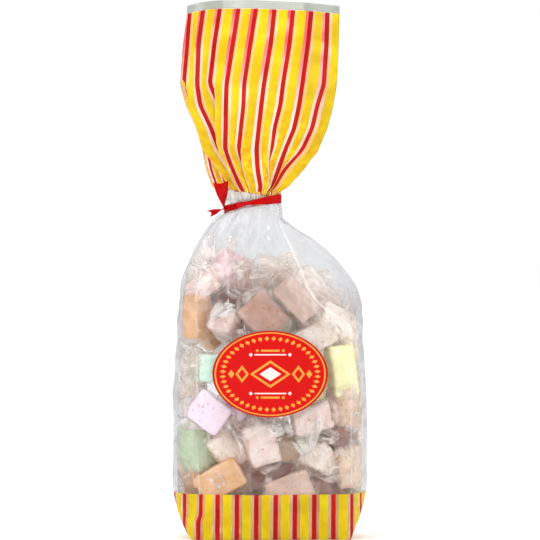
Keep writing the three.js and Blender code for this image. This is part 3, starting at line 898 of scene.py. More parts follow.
def nougat_material(name, base, shade, nut, nut_amount):
    """Whipped and cut sugar: matt and cloudy, with nuts as small darker flecks."""
    material, tree = new_material(name)
    place = add_node(tree, "ShaderNodeTexCoord").outputs["Object"]
    cloud = add_node(
        tree, "ShaderNodeTexNoise", {"Vector": place, "Scale": 1 / (CLOUD_SIZE * MM), "Detail": 4.0})
    shaded = add_node(tree, "ShaderNodeMapRange", (cloud, 0.35, 0.7))
    colour = add_node(tree, "ShaderNodeMix", (shaded, linear(base), linear(shade)), data_type="RGBA")
    # Each cell of the pattern has a fleck at its middle, and nut_amount of them are kept.
    cells = add_node(tree, "ShaderNodeTexVoronoi", {"Vector": place, "Scale": 1 / (NUT_SPACING * MM)})
    fleck = add_node(tree, "ShaderNodeMapRange", (cells, 0.24, 0.16))
    drawn = add_node(tree, "ShaderNodeSeparateColor", [cells.outputs["Color"]])
    kept = add_node(tree, "ShaderNodeMath", (drawn, nut_amount), operation="LESS_THAN")
    nuts = add_node(tree, "ShaderNodeMath", (fleck, kept), operation="MULTIPLY")
    colour = add_node(tree, "ShaderNodeMix", (nuts, colour, linear(nut)), data_type="RGBA")
    grain = add_node(
        tree, "ShaderNodeTexNoise", {"Vector": place, "Scale": 1 / (GRAIN_SIZE * MM), "Detail": 3.0})
    bump = add_node(
        tree, "ShaderNodeBump", {"Height": grain, "Strength": 0.5, "Distance": 0.5 * MM})
    surface = add_node(
        tree, "ShaderNodeBsdfPrincipled",
        {"Base Color": colour, "Roughness": 0.55, "IOR": 1.45, "Normal": bump})
    add_node(tree, "ShaderNodeOutputMaterial", {"Surface": surface})
    return material


# Each flavour: its colour, a deeper shade of it, its nuts or fruit, and how much of those it has.
FLAVOURS = {
    "orange": nougat_material("nougat_orange", "#E6B276", "#DBA062", "#C67E3A", 0.25),
    "pink": nougat_material("nougat_pink", "#FBE8F6", "#F4DAEA", "#BE8894", 0.6),
    "green": nougat_material("nougat_green", "#BCD2B0", "#ACC49A", "#A2A84C", 0.6),
    "mint": nougat_material("nougat_mint", "#DAF5E6", "#CBEEDC", "#A8D8B8", 0.2),
    "coffee": nougat_material("nougat_coffee", "#C49884", "#B4836C", "#8C583A", 0.35),
    # The rose-brown is made darker than the flavour, as painted shade: partly the sweets' own colour,
    # partly the shade of the gaps where they lie.
    "rose_and_shade": nougat_material("nougat_rose_brown_and_shade", "#8E5642", "#74402E", "#54281A", 0.3),
    "yellow": nougat_material("nougat_yellow", "#FFFDC8", "#FFF8AE", "#E2C65A", 0.25),
    "cream": nougat_material("nougat_cream", "#FAF0E6", "#F0E2D4", "#B8926A", 0.45),
    "beige": nougat_material("nougat_beige", "#E4CAAE", "#D4B392", "#8C6440", 0.4),
    "blush": nougat_material("nougat_blush", "#F0DCD4", "#E2C6BC", "#A07060", 0.4),
    "raspberry": nougat_material("nougat_raspberry", "#FADEE2", "#F0C6CE", "#C27A88", 0.5),
    "milk_coffee": nougat_material("nougat_milk_coffee", "#D4B4A2", "#C6A28E", "#98705A", 0.35),
}
print(len(FLAVOURS), "flavours of nougat")

# %% [markdown]
# ## Where the sweets lie
# The sweets against the front film are the ones that are seen best, so they are listed one by one,
# from the top down. They could be dropped in by a rigid-body simulation, but then none would
# lie where it should. Each line names a sweet's flavour, the place of its middle, its length,
# depth and height, and how it is turned about X, Y and Z.

# %% Sweets against the front
SHOWN_SWEETS = (
    # flavour, middle, (length, depth, height), turn in degrees
    ("raspberry", (-28, -14, 186), (26, 19, 20), (-25, 20, 40)),
    ("cream", (5, -8, 184), (28, 18, 18), (20, 12, 20)),
    ("blush", (-46, -14, 177), (26, 18, 15), (15, -30, -30)),
    ("cream", (32, -8, 171), (31, 17, 18), (0, 46, 12)),
    ("milk_coffee", (17, -27, 166.5), (31, 17, 18), (-6, 45.6, 0)),
    ("rose_and_shade", (-31, -7, 165), (28, 18, 18), (0, 70, 20)),
    ("coffee", (-6, -25, 155), (29, 19, 25), (-8, 47, 0)),
    ("orange", (-51.5, -17, 154.5), (30, 15, 15), (0, 90, 42)),
    ("cream", (45, -17, 152), (28, 19, 18), (0, 25, 20)),
    ("blush", (-30, -20, 149), (25, 18, 18), (12, 25, 62)),
    ("cream", (31, -21, 141), (26, 17, 19), (0, -30, 10)),
    ("cream", (55, -10, 138), (27, 18, 18), (0, 80, 30)),
    ("mint", (-36, -24, 118.7), (27, 17, 19), (0, 3, 0)),
    ("yellow", (49, -18, 117), (36, 17, 18), (0, 82, 18)),
    ("cream", (2, -18, 120), (29, 19, 19), (0, 30, 10)),
    ("beige", (51, -17, 91), (27, 18, 20), (0, 88, -30)),
    ("pink", (-43.4, -25, 88.4), (26, 18, 22.5), (0, 36, 3)),
    ("cream", (-54.5, -10, 113), (29, 15, 15), (0, 88, 20)),
    ("cream", (-40, 2, 176), (27, 18, 18), (0, 20, 10)),
    ("pink", (-18, -13, 98), (29, 18, 18), (0, -50, 0)),
    ("blush", (28, -24, 84), (27, 18, 19), (0, -15, 8)),
    ("cream", (60, -5, 76), (26, 17, 17), (0, 80, 50)),
    ("rose_and_shade", (48, -15, 71), (26, 14, 14), (10, 0, 78)),
    ("green", (31, -9, 69), (28, 18, 20), (0, 20, 15)),
    ("blush", (-7, -24, 66), (28, 18, 21), (0, 75, 10)),
    ("green", (-53, -14, 64), (31, 21, 20), (0, 65, 35)),
    ("cream", (-32, -15, 61), (27, 18, 18), (0, 50, 20)),
    ("cream", (-15, -7, 85), (27, 18, 18), (0, -35, 10)),
    ("beige", (12, -10, 60), (28, 18, 18), (0, 20, 10)),
    ("cream", (36, -19, 54), (27, 17, 18), (15, 25, 60)),
    ("beige", (53, -15, 50), (29, 18, 18), (0, 85, 20)),
    ("rose_and_shade", (2, -14, 43), (31, 18, 18), (0, -4, 0)),
    ("orange", (-34.5, -19, 41), (24, 32, 21), (-29, 0, 84)),
    ("beige", (-57, 0, 44), (25, 17, 16), (0, 75, 20)),
    ("orange", (-44.5, -8, 43.5), (23, 17, 16), (-5, -9, 8)),
    ("blush", (-15, -8, 44), (25, 17, 18), (-8, -60, 0)),
    ("milk_coffee", (13, -26, 35), (31, 18, 19), (0, -21, 0)),
    ("rose_and_shade", (38, -14, 32), (28, 18, 18), (0, 35, 30)),
    ("coffee", (-12, -15, 19), (29, 18, 18), (0, 8, 15)),
    ("orange", (-36, -14, 17), (27, 18, 17), (0, 5, 10)),
    ("orange", (15, -18, 11), (29, 19, 17), (0, 3, -10)),
    ("coffee", (44, -17, 13), (28, 19, 17), (0, -4, 14)),
)
print(len(SHOWN_SWEETS), "sweets are placed by hand")

# %% [markdown]
# ## Filling the rest of the bag
# The other sweets start at random places behind those and are pushed apart until they stop
# overlapping, which is quicker and steadier than a rigid-body simulation.

# %% Sweets behind the front ones
FILL_SEED = 27
FILL_COUNT = 18
# The rose-brown sweets among these paint shade into the gaps between the front ones.
FILL_FLAVOURS = ("coffee", "pink", "rose_and_shade", "green", "beige", "coffee", "yellow", "orange", "rose_and_shade", "mint")
PUSH_ROUNDS = 160
LONGEST_PUSH = 4
BALL_RADIUS = 9.5


def turned(sweet):
    """The turn of a sweet as a matrix."""
    return Euler([math.radians(angle) for angle in sweet[3]]).to_matrix()


def ball_places(sweet):
    """A sweet is pushed as three balls in a row, which are quick to keep apart."""
    reach = sweet[2][0] / 2 - BALL_RADIUS + 2
    ends = [np.array(turned(sweet) @ Vector((k * reach, 0, 0))) for k in (-1, 0, 1)]
    return np.array([np.array(sweet[1]) + end for end in ends])


def heap_top(x):
    """Height of the heap: it dips towards the right, where the sweets have slid down."""
    return float(np.interp(x, (-56, -26, 10, 55), (165, 190, 182, 140)))


def fill_sweets():
    rng = np.random.default_rng(FILL_SEED)
    fixed = np.concatenate([ball_places(s) for s in SHOWN_SWEETS])
    places = rng.uniform((-50, 2, 14), (50, 26, 175), (FILL_COUNT, 3))
    turns = rng.uniform(-90, 90, (FILL_COUNT, 3))
    sizes = rng.uniform((25, 17, 16), (30, 20, 19), (FILL_COUNT, 3))
    names = [FILL_FLAVOURS[i % len(FILL_FLAVOURS)] for i in range(FILL_COUNT)]
    for _ in range(PUSH_ROUNDS):
        balls = np.array([ball_places(s) for s in zip(names, places, sizes, turns)])
        push = np.zeros_like(places)
        for i in range(FILL_COUNT):
            others = np.concatenate([fixed, np.delete(balls, i, 0).reshape(-1, 3)])
            for ball in balls[i]:
                apart = ball - others
                distance = np.maximum(np.linalg.norm(apart, axis=1), 1e-6)
                close = np.clip(2 * BALL_RADIUS - distance, 0, None)
                push[i] += (apart / distance[:, None] * close[:, None]).sum(0) * 0.2
            # The film pushes back, and the sweets drift to the back and settle below the heap's top.
            kept = keep_inside(balls[i], 10)
            push[i] += (kept - balls[i]).mean(0) * 0.9
            push[i][1] += 0.1
            push[i][2] -= 0.1 + max(0, places[i][2] - heap_top(places[i][0])) * 0.3
        places = places + np.clip(push, -LONGEST_PUSH, LONGEST_PUSH)
    return list(zip(names, places, sizes, turns))


SWEETS = list(SHOWN_SWEETS) + fill_sweets()
# Nougat is full of small air bubbles, so that it weighs a little less than water.
DENSITY = 0.93
volume = sum(math.prod(sweet[2]) for sweet in SWEETS) / 1000
print(len(SWEETS), "sweets,", round(volume), "cm3 of nougat, about", round(DENSITY * volume), "g")

# %% [markdown]
# ## Cutting the blocks
# A block is a box with its faces cut into small squares. A bevel modifier would round it, but
# leave all blocks alike. Here each point is pulled towards a rounded box, and noise moves it a
# little, so that edges are soft, faces sag and bulge, and each block is its own.

# %% The blocks
BLOCK_STEPS = 13
CORNER_ROUND = 2.2


def unit_box(steps):
    """Points and faces of a cube from -1 to 1, each side cut into steps."""
    ticks = np.linspace(-1, 1, steps + 1)
    first, second = np.meshgrid(ticks, ticks)
    points = []
    faces = []
    for axis in range(3):
        for sign in (-1, 1):
            side = np.empty(first.shape + (3,))
            side[..., axis] = sign
            side[..., (axis + 1) % 3] = first * sign
            side[..., (axis + 2) % 3] = second
            faces.append(grid_faces(steps + 1, steps + 1, False, len(points) * (steps + 1) ** 2))
            points.append(side.reshape(-1, 3))
    return np.concatenate(points), np.concatenate(faces)


def weld(points, faces):
    """Joins points that lie on each other, so that the sides of a box share their edges."""
    found = np.unique(np.round(points, 4), axis=0, return_index=True, return_inverse=True)
    return points[found[1]], found[2].ravel()[faces]


BOX_POINTS, BOX_FACES = weld(*unit_box(BLOCK_STEPS))


def placed(points, sweet):
    return points @ np.array(turned(sweet)).T + np.array(sweet[1])


def block_points(sweet, number):
    half = np.array(sweet[2]) / 2
    box = BOX_POINTS * half
    core = np.clip(box, -(half - CORNER_ROUND), half - CORNER_ROUND)
    away = box - core
    length = np.maximum(np.linalg.norm(away, axis=1, keepdims=True), 1e-9)
    rounded = core + away / length * np.minimum(length, CORNER_ROUND)
    outward = rounded / np.maximum(np.linalg.norm(rounded, axis=1, keepdims=True), 1e-9)
    lumps = 0.55 * noise_at(rounded, 9, number + 11) + 0.35 * noise_at(rounded, 3.5, number + 51)
    return placed(rounded + outward * lumps[:, None], sweet)


def join_flavour(flavour):
    chosen = [(n, s) for n, s in enumerate(SWEETS) if s[0] == flavour]
    points = np.concatenate([keep_inside(block_points(s, n), 1.0) for n, s in chosen])
    faces = np.concatenate([BOX_FACES + i * len(BOX_POINTS) for i in range(len(chosen))])
    piece = make_piece("nougat_" + flavour, points, faces, FLAVOURS[flavour])
    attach(piece, "root")
    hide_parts("bag")


for flavour in FLAVOURS:
    join_flavour(flavour)

# %% [markdown]
# ## Twisted ends
# Each block is rolled in a square of clear film, and both ends are twisted. An end closes to a
# thin neck and opens into a ruffled tail. It could be made by twisting a tube with a modifier,
# but rings that shrink and grow again give the same with few faces. An end that points at the
# bag's film is pressed into a small rosette.

# %% The ends of a wrapper
WRAP_GAP = 0.8
WRAP_COLUMNS = 54
CLOSING_ROWS = 4
TAIL_ROWS = 8
END_ROWS = CLOSING_ROWS + TAIL_ROWS
NECK_RADIUS = 1.6
WRAP_ANGLE = np.linspace(0, 2 * math.pi, WRAP_COLUMNS, endpoint=False)
# A round section becomes nearly square by reaching farther at its corners.
WRAP_CORNER = np.maximum(np.abs(np.cos(WRAP_ANGLE)), np.abs(np.sin(WRAP_ANGLE))) ** -0.8


def wrapper_end(half, side, rng, pressed):
    """Rings from the end of the block to the mouth of the tail, which is a flat ruffled fan."""
    angle = WRAP_ANGLE
    # A loose tail is 12 to 18 mm long. A pressed one is short and round.
    length = 4 if pressed else rng.uniform(12, 18)
    wide, thin = (5, 4.5) if pressed else (rng.uniform(11, 16), rng.uniform(2.5, 4.5))
    rise = 2 if pressed else 5
    lean = rng.uniform(0, 2 * math.pi)
    bend = rng.uniform(2, 9) * np.array([math.cos(lean), math.sin(lean)])
    flat_turn = rng.uniform(0, math.pi)
    pleats = int(rng.integers(5, 8))
    rings = []
    for step in np.linspace(0, 1, CLOSING_ROWS + 1)[1:]:
        size = (1 - step) ** 0.8
        y = (half[1] * size + NECK_RADIUS * (1 - size)) * WRAP_CORNER * np.cos(angle)
        z = (half[2] * size + NECK_RADIUS * (1 - size)) * WRAP_CORNER * np.sin(angle)
        rings.append(np.stack([side * (half[0] + WRAP_GAP + rise * step) + 0 * angle, y, z], 1))
    for step in np.linspace(0, 1, TAIL_ROWS + 1)[1:]:
        grown = step ** 0.7
        ruffle = 2.6 * grown * np.sin(pleats * angle + flat_turn + 1.5 * side)
        across = (NECK_RADIUS + (wide - NECK_RADIUS) * grown) * np.cos(angle)
        through = (NECK_RADIUS + (thin - NECK_RADIUS) * grown) * np.sin(angle) + ruffle
        y = across * math.cos(flat_turn) - through * math.sin(flat_turn) + bend[0] * step ** 2
        z = across * math.sin(flat_turn) + through * math.cos(flat_turn) + bend[1] * step ** 2
        edge = 1.5 * grown * np.sin(2 * pleats * angle) - 2.5 * grown * np.cos(angle) ** 2
        rings.append(np.stack([side * (half[0] + WRAP_GAP + rise + length * step + edge), y, z], 1))
    return rings


print("a twisted end has", END_ROWS * WRAP_COLUMNS, "points")

# %% [markdown]
# ## Twist wrappers
# Between its ends the wrapper is a tube round the block. Crinkles are moved points again: they
# catch the light in small sharp glints. The tube, like the film of the bag, carries marks that
# its material turns milky.

# %% The wrappers
WRAP_SEED = 500
MIDDLE_ROWS = 13
POINTS_OUT = 0.8
# How cloudy each flavour's wrapper is. The pale ones are in the older, more crumpled film.
CLOUDINESS = {
    "cream": 0.8, "beige": 0.6, "blush": 0.9, "raspberry": 0.5, "mint": 0.25, "pink": 0.12, "green": 0.4,
    "coffee": 0.25, "milk_coffee": 0.35}


def wrapper_points(sweet, number, rng):
    half = np.array(sweet[2]) / 2 + WRAP_GAP
    y = half[1] * WRAP_CORNER * np.cos(WRAP_ANGLE)
    z = half[2] * WRAP_CORNER * np.sin(WRAP_ANGLE)
    middle = [np.stack([x + 0 * y, y, z], 1) for x in np.linspace(-half[0], half[0], MIDDLE_ROWS)]
    ahead = turned(sweet) @ Vector((1, 0, 0))
    left_pressed = ahead.y > POINTS_OUT
    right_pressed = ahead.y < -POINTS_OUT
    left = wrapper_end(half, -1, rng, left_pressed)
    right = wrapper_end(half, 1, rng, right_pressed)
    grid = np.array(left[::-1] + middle + right)
    normals = grid_normals(grid, True)
    cloudy = CLOUDINESS.get(sweet[0], 0.1)
    bulges = (1.3 + 1.4 * cloudy) * np.abs(noise_at(grid, 10, number + 101))
    dips = (0.4 + 0.7 * cloudy) * np.abs(noise_at(grid, 5, number + 151))
    grid = grid + normals * (bulges - dips + 0.2)[..., None]
    rows = len(grid)
    row = np.arange(rows)[:, None] + 0 * WRAP_ANGLE
    column = np.arange(WRAP_COLUMNS) + 0 * row
    # Milky streaks run into the twisted ends, but a pressed end is seen through.
    twisted = np.clip(np.abs(row - (rows - 1) / 2) - MIDDLE_ROWS / 2 + 1.5, 0, 3) / 3
    streaks = noise_at(np.stack([column / 2.4, row / 5, 0 * row], -1), 1, number + 3)
    pressed = left_pressed * (row < END_ROWS) + right_pressed * (row >= rows - END_ROWS)
    closing = np.minimum(row, rows - 1 - row) >= TAIL_ROWS
    marks = smooth(streaks, -0.1, 0.6) * lerp(0.08, 0.8, twisted) * (1 - 0.8 * pressed * closing)
    veil = smooth(noise_at(grid, 8, number + 31), -0.1, 0.25)
    marks = np.clip(marks + cloudy * veil, 0, 1)
    flat = np.stack([column, row, marks], -1).reshape(-1, 3)
    return placed(grid.reshape(-1, 3), sweet), flat, rows


def wrappers(name, sweets):
    parts = []
    count = 0
    for number, sweet in sweets:
        rng = np.random.default_rng(number + WRAP_SEED)
        points, flat, rows = wrapper_points(sweet, number, rng)
        parts.append((keep_inside(points, 0.7), grid_faces(rows, WRAP_COLUMNS, True, count), flat))
        count += len(points)
    points, faces, flat = [np.concatenate(part) for part in zip(*parts)]
    piece = make_piece(name, points, faces, wrap_film, flat)
    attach(piece, "root")
    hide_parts("bag")


numbered = list(enumerate(SWEETS))
wrappers("wrappers_front", numbered[:len(SHOWN_SWEETS)])
wrappers("wrappers_behind", numbered[len(SHOWN_SWEETS):])

# %% [markdown]
# ## The print of the label
# The label is gloss paper, printed red with a gold line round it. A plain ornament of lozenges,
# beads and bars fills it. It could be a picture, but here it is drawn in the shader from the
# label's own millimetres, so that the lines stay sharp at any distance.

# %% Material of the label
LABEL_HALF_WIDTH = (label_high.x - label_low.x) / 2 / MM
LABEL_HALF_HEIGHT = (label_high.z - label_low.z) / 2 / MM
RING_PLACE = 0.95
RING_HALF = 0.013
BEAD_COUNT = 44
BEAD_PLACE = 0.82
LABEL_GOLD = "#E3923A"
LABEL_WHITE = "#E2CBC8"
LABEL_RED = "#BE0503"
# Ornaments in mm from the label's middle, mirrored left to right and top to bottom: kind,
# colour, (x, z) of the middle, (half width, half height). Later ones cover earlier ones.
ORNAMENTS = (
    ("lozenge", LABEL_GOLD, (0, 0), (14, 9.5)),
    ("lozenge", LABEL_RED, (0, 0), (11.6, 7.6)),
    ("lozenge", LABEL_WHITE, (0, 0), (7.5, 4.8)),
    ("lozenge", LABEL_GOLD, (19.5, 0), (4.6, 6)),
    ("lozenge", LABEL_RED, (19.5, 0), (2.8, 3.6)),
    ("lozenge", LABEL_GOLD, (27, 0), (2.2, 2.9)),
    ("bar", LABEL_WHITE, (0, 13.4), (11, 0.45)),
    ("bar", LABEL_GOLD, (0, 16.2), (6.5, 0.7)),
    ("lozenge", LABEL_WHITE, (13.5, 13.4), (1.4, 1.4)),
    ("lozenge", LABEL_GOLD, (9, 16.2), (1.2, 1.2)),
)


def ornament(tree, kind, place, middle, half):
    """1 inside the shape, else 0."""
    shares = []
    for at, centre, reach in zip(place, middle, half):
        away = add_node(tree, "ShaderNodeMath", (at, centre), operation="SUBTRACT")
        away = add_node(tree, "ShaderNodeMath", [away], operation="ABSOLUTE")
        shares.append(add_node(tree, "ShaderNodeMath", (away, reach), operation="DIVIDE"))
    joining = "ADD" if kind == "lozenge" else "MAXIMUM"
    together = add_node(tree, "ShaderNodeMath", shares, operation=joining)
    return add_node(tree, "ShaderNodeMath", (together, 1.0), operation="LESS_THAN")


def label_material():
    """Coated paper: an even, strong red with a smooth gloss, and ink with sharp edges."""
    material, tree = new_material("gloss_paper_label")
    flat = add_node(tree, "ShaderNodeAttribute", attribute_name="flat_mm").outputs["Vector"]
    parts = add_node(tree, "ShaderNodeSeparateXYZ", [flat]).outputs
    unit_x = add_node(tree, "ShaderNodeMath", (parts["X"], LABEL_HALF_WIDTH), operation="DIVIDE")
    unit_z = add_node(tree, "ShaderNodeMath", (parts["Y"], LABEL_HALF_HEIGHT), operation="DIVIDE")
    squares = add_node(tree, "ShaderNodeMath", (unit_x, unit_x), operation="MULTIPLY")
    squares = add_node(tree, "ShaderNodeMath", (unit_z, unit_z, squares), operation="MULTIPLY_ADD")
    radius = add_node(tree, "ShaderNodeMath", [squares], operation="SQRT")
    ring = add_node(tree, "ShaderNodeMath", (radius, RING_PLACE, RING_HALF), operation="COMPARE")
    outside = RING_PLACE + RING_HALF
    edge = add_node(tree, "ShaderNodeMath", (radius, outside), operation="GREATER_THAN")
    # Beads stand at even angles on an inner oval.
    turn = add_node(tree, "ShaderNodeMath", (unit_z, unit_x), operation="ARCTAN2")
    turn = add_node(tree, "ShaderNodeMath", (turn, BEAD_COUNT / 2 / math.pi), operation="MULTIPLY")
    along = add_node(tree, "ShaderNodeMath", [turn], operation="FRACT")
    along = add_node(tree, "ShaderNodeMath", (along, 0.5), operation="SUBTRACT")
    along = add_node(tree, "ShaderNodeMath", (along, 4.4), operation="MULTIPLY")
    across = add_node(tree, "ShaderNodeMath", (radius, BEAD_PLACE), operation="SUBTRACT")
    across = add_node(tree, "ShaderNodeMath", (across, 34.0), operation="MULTIPLY")
    bead = ornament(tree, "lozenge", (along, across), (0, 0), (1.5, 1.9))
    layers = [(edge, "#A81008"), (ring, LABEL_GOLD), (bead, LABEL_GOLD)]
    place = [add_node(tree, "ShaderNodeMath", [parts[i]], operation="ABSOLUTE") for i in (0, 1)]
    for kind, paint, middle, half in ORNAMENTS:
        layers.append((ornament(tree, kind, place, middle, half), paint))
    # Each layer of ink covers what is printed before it.
    cloud = add_node(tree, "ShaderNodeTexNoise", {"Vector": flat, "Scale": 1 / 12.5})
    colour = add_node(
        tree, "ShaderNodeMix", (cloud, linear("#C20503"), linear("#B80402")), data_type="RGBA")
    for mask, paint in layers:
        colour = add_node(tree, "ShaderNodeMix", (mask, colour, linear(paint)), data_type="RGBA")
    surface = add_node(
        tree, "ShaderNodeBsdfPrincipled",
        {"Base Color": colour, "Roughness": 0.3, "IOR": 1.45, "Specular IOR Level": 0.2})
    add_node(tree, "ShaderNodeOutputMaterial", {"Surface": surface})
    return material


print("label is", round(2 * LABEL_HALF_WIDTH), "by", round(2 * LABEL_HALF_HEIGHT), "mm")

# %% [markdown]
# ## The label
# The label is stuck on flat and follows the bulge of the front panel. A shrinkwrap modifier
# could lay it there. The surface is known as a formula, so its points are put straight on it.

# %% The label
LABEL_RINGS = 24
LABEL_SPOKES = 120
LABEL_GAP = 0.8
# The rings end in a pinhole at the middle, too small to see.
INNER_RING = 0.004


def front_point(x, z):
    """A point of the plain front panel straight in front of x and z."""
    across = (x - left_crease(z)) / (right_crease(z) - left_crease(z)) * 2 - 1
    return body_point(across * PANEL_HALF, z)


def make_label():
    middle = (label_low + label_high) / 2 / MM
    ring = np.linspace(INNER_RING, 1, LABEL_RINGS)[:, None]
    spoke = np.linspace(0, 2 * math.pi, LABEL_SPOKES, endpoint=False)[None, :]
    x = LABEL_HALF_WIDTH * ring * np.cos(spoke)
    z = LABEL_HALF_HEIGHT * ring * np.sin(spoke)
    points = front_point(middle.x + x, middle.z + z) - np.array([0, LABEL_GAP, 0])
    faces = grid_faces(LABEL_RINGS, LABEL_SPOKES, True)[:, ::-1]
    flat = np.stack([x, z, 0 * x], -1)
    return make_piece("label_print", points, faces, label_material(), flat)


label = make_label()
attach(label, "root")
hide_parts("label")

# %% [markdown]
# ## The ribbon's finish
# The tie is soft PVC ribbon over a wire. Plain red would look like paint, so the shade changes a
# little along it and a slight bump breaks its shine.

# %% Material of the ribbon
RIBBON_PATCH = 6


def ribbon_material():
    """Soft PVC: a deep red with a dull, broad shine."""
    material, tree = new_material("pvc_ribbon")
    place = add_node(tree, "ShaderNodeTexCoord").outputs["Object"]
    cloud = add_node(
        tree, "ShaderNodeTexNoise", {"Vector": place, "Scale": 1 / (RIBBON_PATCH * MM), "Detail": 3.0})
    colour = add_node(
        tree, "ShaderNodeMix", (cloud, linear("#BA0005"), linear("#9A0004")), data_type="RGBA")
    bump = add_node(
        tree, "ShaderNodeBump", {"Height": cloud, "Strength": 0.3, "Distance": 0.6 * MM})
    surface = add_node(
        tree, "ShaderNodeBsdfPrincipled",
        {"Base Color": colour, "Roughness": 0.4, "IOR": 1.5, "Specular IOR Level": 0.08,
         "Normal": bump})
    add_node(tree, "ShaderNodeOutputMaterial", {"Surface": surface})
    return material


ribbon_red = ribbon_material()
print("ribbon material:", ribbon_red.name)

# %% [markdown]
# ## The section of the ribbon
# The ribbon is a thin bar with a raised line along its middle where the wire lies. A curve with
# a bevel object would sweep it too, but its twist is hard to steer. Here each section is told
# which way its width points.

# %% A length of ribbon
RIBBON_HALF_THICKNESS = 0.6
RIBBON_PROFILE = np.array([
    (-1.0, -0.25), (-0.5, -0.25), (-0.12, -0.25), (0, -0.5), (0.12, -0.25), (0.5, -0.25), (1.0, -0.25),
    (1.0, 0.25), (0.5, 0.25), (0.12, 0.25), (0, 0.5), (-0.12, 0.25), (-0.5, 0.25), (-1.0, 0.25)])


def ribbon_grid(path, width_way, widths, notch=0):
    """Sweeps the ribbon's section along a path. width_way says which way its width points.
    notch is how far the cut end is hollowed at its middle."""
    along = np.gradient(path, axis=0)
    along /= np.linalg.norm(along, axis=1, keepdims=True)
    wide = width_way - along * (width_way * along).sum(1, keepdims=True)
    wide /= np.linalg.norm(wide, axis=1, keepdims=True)
    thick = np.cross(along, wide)
    profile = RIBBON_PROFILE[None]
    half = widths[:, None, None] / 2
    cut = np.zeros(len(path))
    cut[-1] = notch
    hollow = along[:, None] * (np.abs(profile[..., :1]) - 0.6) * cut[:, None, None]
    across = wide[:, None] * profile[..., :1] * half
    through = thick[:, None] * profile[..., 1:] * RIBBON_HALF_THICKNESS
    return path[:, None] + across + through + hollow


print("the ribbon's section has", len(RIBBON_PROFILE), "corners")

# %% [markdown]
# ## The twist tie
# A twist tie goes once round the neck, its ends are twisted at the left, and two cut tails stand
# off. It narrows where the twist pulls it together.

# %% The tie
BAND_STEPS = 96
BAND_HALF_DEPTH = 8.0
TWIST_START = (-25.5, -8.2, 232.4)
TWIST_END = Vector((-32.2, -7.6, 230.2))
TWIST_STEPS = 26
TWIST_TURNS = 1.4
STRAND_WIDTH = 3.0
TAIL_STEPS = 14
# The tails: their ends, which way their width points there, their width and their notch.
TAILS = (
    ((-34.8, -9.2, 248.5), (1, 0.2, 0), 10.6, 1.2),
    ((-42.2, -7.2, 227.0), (0.35, 0.5, -0.75), 5.2, 2.6),
)


def tie_band():
    angle = np.linspace(0, 2 * math.pi, BAND_STEPS, endpoint=False)
    neck_x = (NECK_RIGHT - NECK_LEFT) / 2 - 0.6
    half_x = (NECK_RIGHT + NECK_LEFT) / 2 + 1.0
    x = neck_x + half_x * np.cos(angle)
    path = np.stack([x, BAND_HALF_DEPTH * np.sin(angle), band_height(x)], 1)
    front_width = np.interp(x, (-30, -22, -17, -12, -5, 9), (3.6, 4.4, 2.9, 3.4, 4.8, 6.8))
    squeeze = np.exp(-((x + 17) / 6) ** 2) * (np.sin(angle) < 0)
    way = np.stack([0 * x, 0.6 * squeeze, 1 + 0 * x], 1)
    return ribbon_grid(path, way, np.where(np.sin(angle) < 0, front_width, 5.8))


def tie_tail(end, way, width, notch):
    t = np.linspace(0, 1, TAIL_STEPS)[:, None]
    path = lerp(np.array(TWIST_END), np.array(end), t)
    path = path + np.array([0, -0.8, 0]) * np.sin(math.pi * t)
    ways = lerp(np.array(way), np.array([0.0, 1.0, 0.3]), (1 - t) ** 1.5)
    return ribbon_grid(path, ways, lerp(4.2, width, t[:, 0] ** 0.6), notch)


def tie_strand(phase):
    """One of the two ribbon ends that are wound round each other."""
    t = np.linspace(0, 1, TWIST_STEPS)[:, None]
    wind = 2 * math.pi * TWIST_TURNS * t + phase
    round_it = np.concatenate([0.3 * np.cos(wind), np.sin(wind), np.cos(wind)], 1)
    path = lerp(np.array(TWIST_START), np.array(TWIST_END), t) + 0.7 * round_it
    ways = np.concatenate([0.2 + 0 * wind, np.cos(wind), np.sin(wind)], 1)
    return ribbon_grid(path, ways, np.full(TWIST_STEPS, STRAND_WIDTH))


def make_tie():
    grids = [tie_band()] + [tie_tail(*tail) for tail in TAILS] + [tie_strand(p) for p in (0, math.pi)]
    count = len(RIBBON_PROFILE)
    faces = []
    start = 0
    for grid in grids:
        faces.append(grid_faces(len(grid), count, True, start))
        start += len(grid) * count
    # The band is closed by faces from its last section back to its first.
    column = np.arange(count)
    after = (column + 1) % count
    last = (BAND_STEPS - 1) * count
    faces.insert(1, np.stack([last + column, last + after, after, column], 1))
    points = np.concatenate([grid.reshape(-1, 3) for grid in grids])
    return make_piece("tie_ribbon", points, np.concatenate(faces), ribbon_red)


tie = make_tie()
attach(tie, "root")
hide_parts("twist_tie")

# %% [markdown]
# ## The floor
# The bag stands on a large, pale, matt floor. A backdrop curve behind it would hide the horizon,
# but the floor is so wide and so near to white that it fades into the background by itself.

# %% The floor
FLOOR_HALF = 30
FLOOR_DROP = 0.0002
floor_mesh = bpy.data.meshes.new("floor")
floor_corners = [(x * FLOOR_HALF, y * FLOOR_HALF, 0) for x, y in ((-1, -1), (1, -1), (1, 1), (-1, 1))]
floor_mesh.from_pydata(floor_corners, [], [(0, 1, 2, 3)])
floor_paint, floor_tree = new_material("pale_floor")
floor_shader = add_node(
    floor_tree, "ShaderNodeBsdfPrincipled", {"Base Color": linear("#FDFDFF"), "Roughness": 0.8})
add_node(floor_tree, "ShaderNodeOutputMaterial", {"Surface": floor_shader})
floor_mesh.materials.append(floor_paint)
floor = bpy.data.objects.new("floor", floor_mesh)
floor.location.z = -FLOOR_DROP
bpy.context.scene.collection.objects.link(floor)
print("floor is", 2 * FLOOR_HALF, "m wide")

# %% [markdown]
# ## Lamps
# Two large soft lights stand in front, at the left and at the right. Clear film is only seen by
# what it reflects, and a large light gives it broad, soft highlights where a small one would
# give it hard dots.

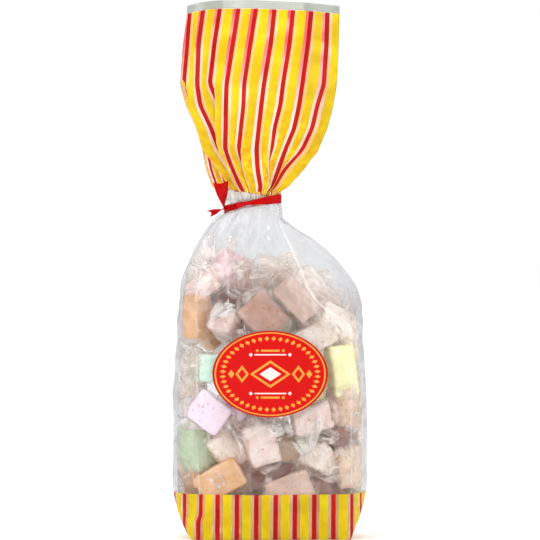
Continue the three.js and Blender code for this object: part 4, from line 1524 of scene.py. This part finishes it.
# %% The lamps
def soft_light(name, place, size, watts, target=(0, 0, 0.17)):
    data = bpy.data.lights.new(name, "AREA")
    data.shape = "RECTANGLE"
    data.size, data.size_y = size
    data.energy = watts
    light = bpy.data.objects.new(name, data)
    light.location = place
    light.rotation_euler = (Vector(target) - Vector(place)).to_track_quat("-Z", "Y").to_euler()
    bpy.context.scene.collection.objects.link(light)
    print(name, "light of", watts, "W")


soft_light("key", (-1.3, -1.3, 1.1), (1.3, 1.3), 26)
soft_light("fill", (1.4, -1.1, 0.8), (1.1, 1.4), 14)

# %% [markdown]
# ## The room
# The room lights the bag from all round, more from above than from the sides. It is a little
# darker than the white background that the camera sees, so that the film's edges show as grey.
# A photographer does the same with dark cards beside a glass bottle.

# %% The room
HORIZON_GLOW = 0.52
world = bpy.data.worlds.new("studio")
world.use_nodes = True
room = world.node_tree
room.nodes.clear()
direction = add_node(room, "ShaderNodeTexCoord").outputs["Generated"]
parts = add_node(room, "ShaderNodeSeparateXYZ", [direction]).outputs
above = add_node(room, "ShaderNodeMath", (parts["Z"], 0.0), operation="MAXIMUM")
glow = add_node(room, "ShaderNodeMath", (above, HORIZON_GLOW), operation="ADD")
# The room is dark in front of the bag, so that its front faces keep their full colour.
dark_side = add_node(room, "ShaderNodeMapRange", (parts["Y"], -0.85, -0.4, 0.3, 1.0))
glow = add_node(room, "ShaderNodeMath", (glow, dark_side), operation="MULTIPLY")
seen = add_node(room, "ShaderNodeLightPath").outputs["Is Camera Ray"]
backdrop = add_node(room, "ShaderNodeBackground", {"Color": linear("#FFFFFF"), "Strength": 1.0})
walls = add_node(room, "ShaderNodeBackground", {"Color": linear("#FFFDFA"), "Strength": glow})
either = add_node(room, "ShaderNodeMixShader", (seen, walls, backdrop))
add_node(room, "ShaderNodeOutputWorld", {"Surface": either})
scene = bpy.context.scene
scene.world = world
scene.view_settings.view_transform = "Standard"
# Light has to pass many layers of film and wrapper to reach the sweets and to come back.
scene.cycles.transparent_max_bounces = 48
scene.cycles.diffuse_bounces = 8
scene.cycles.glossy_bounces = 8
print("the room has", len(room.nodes), "nodes")
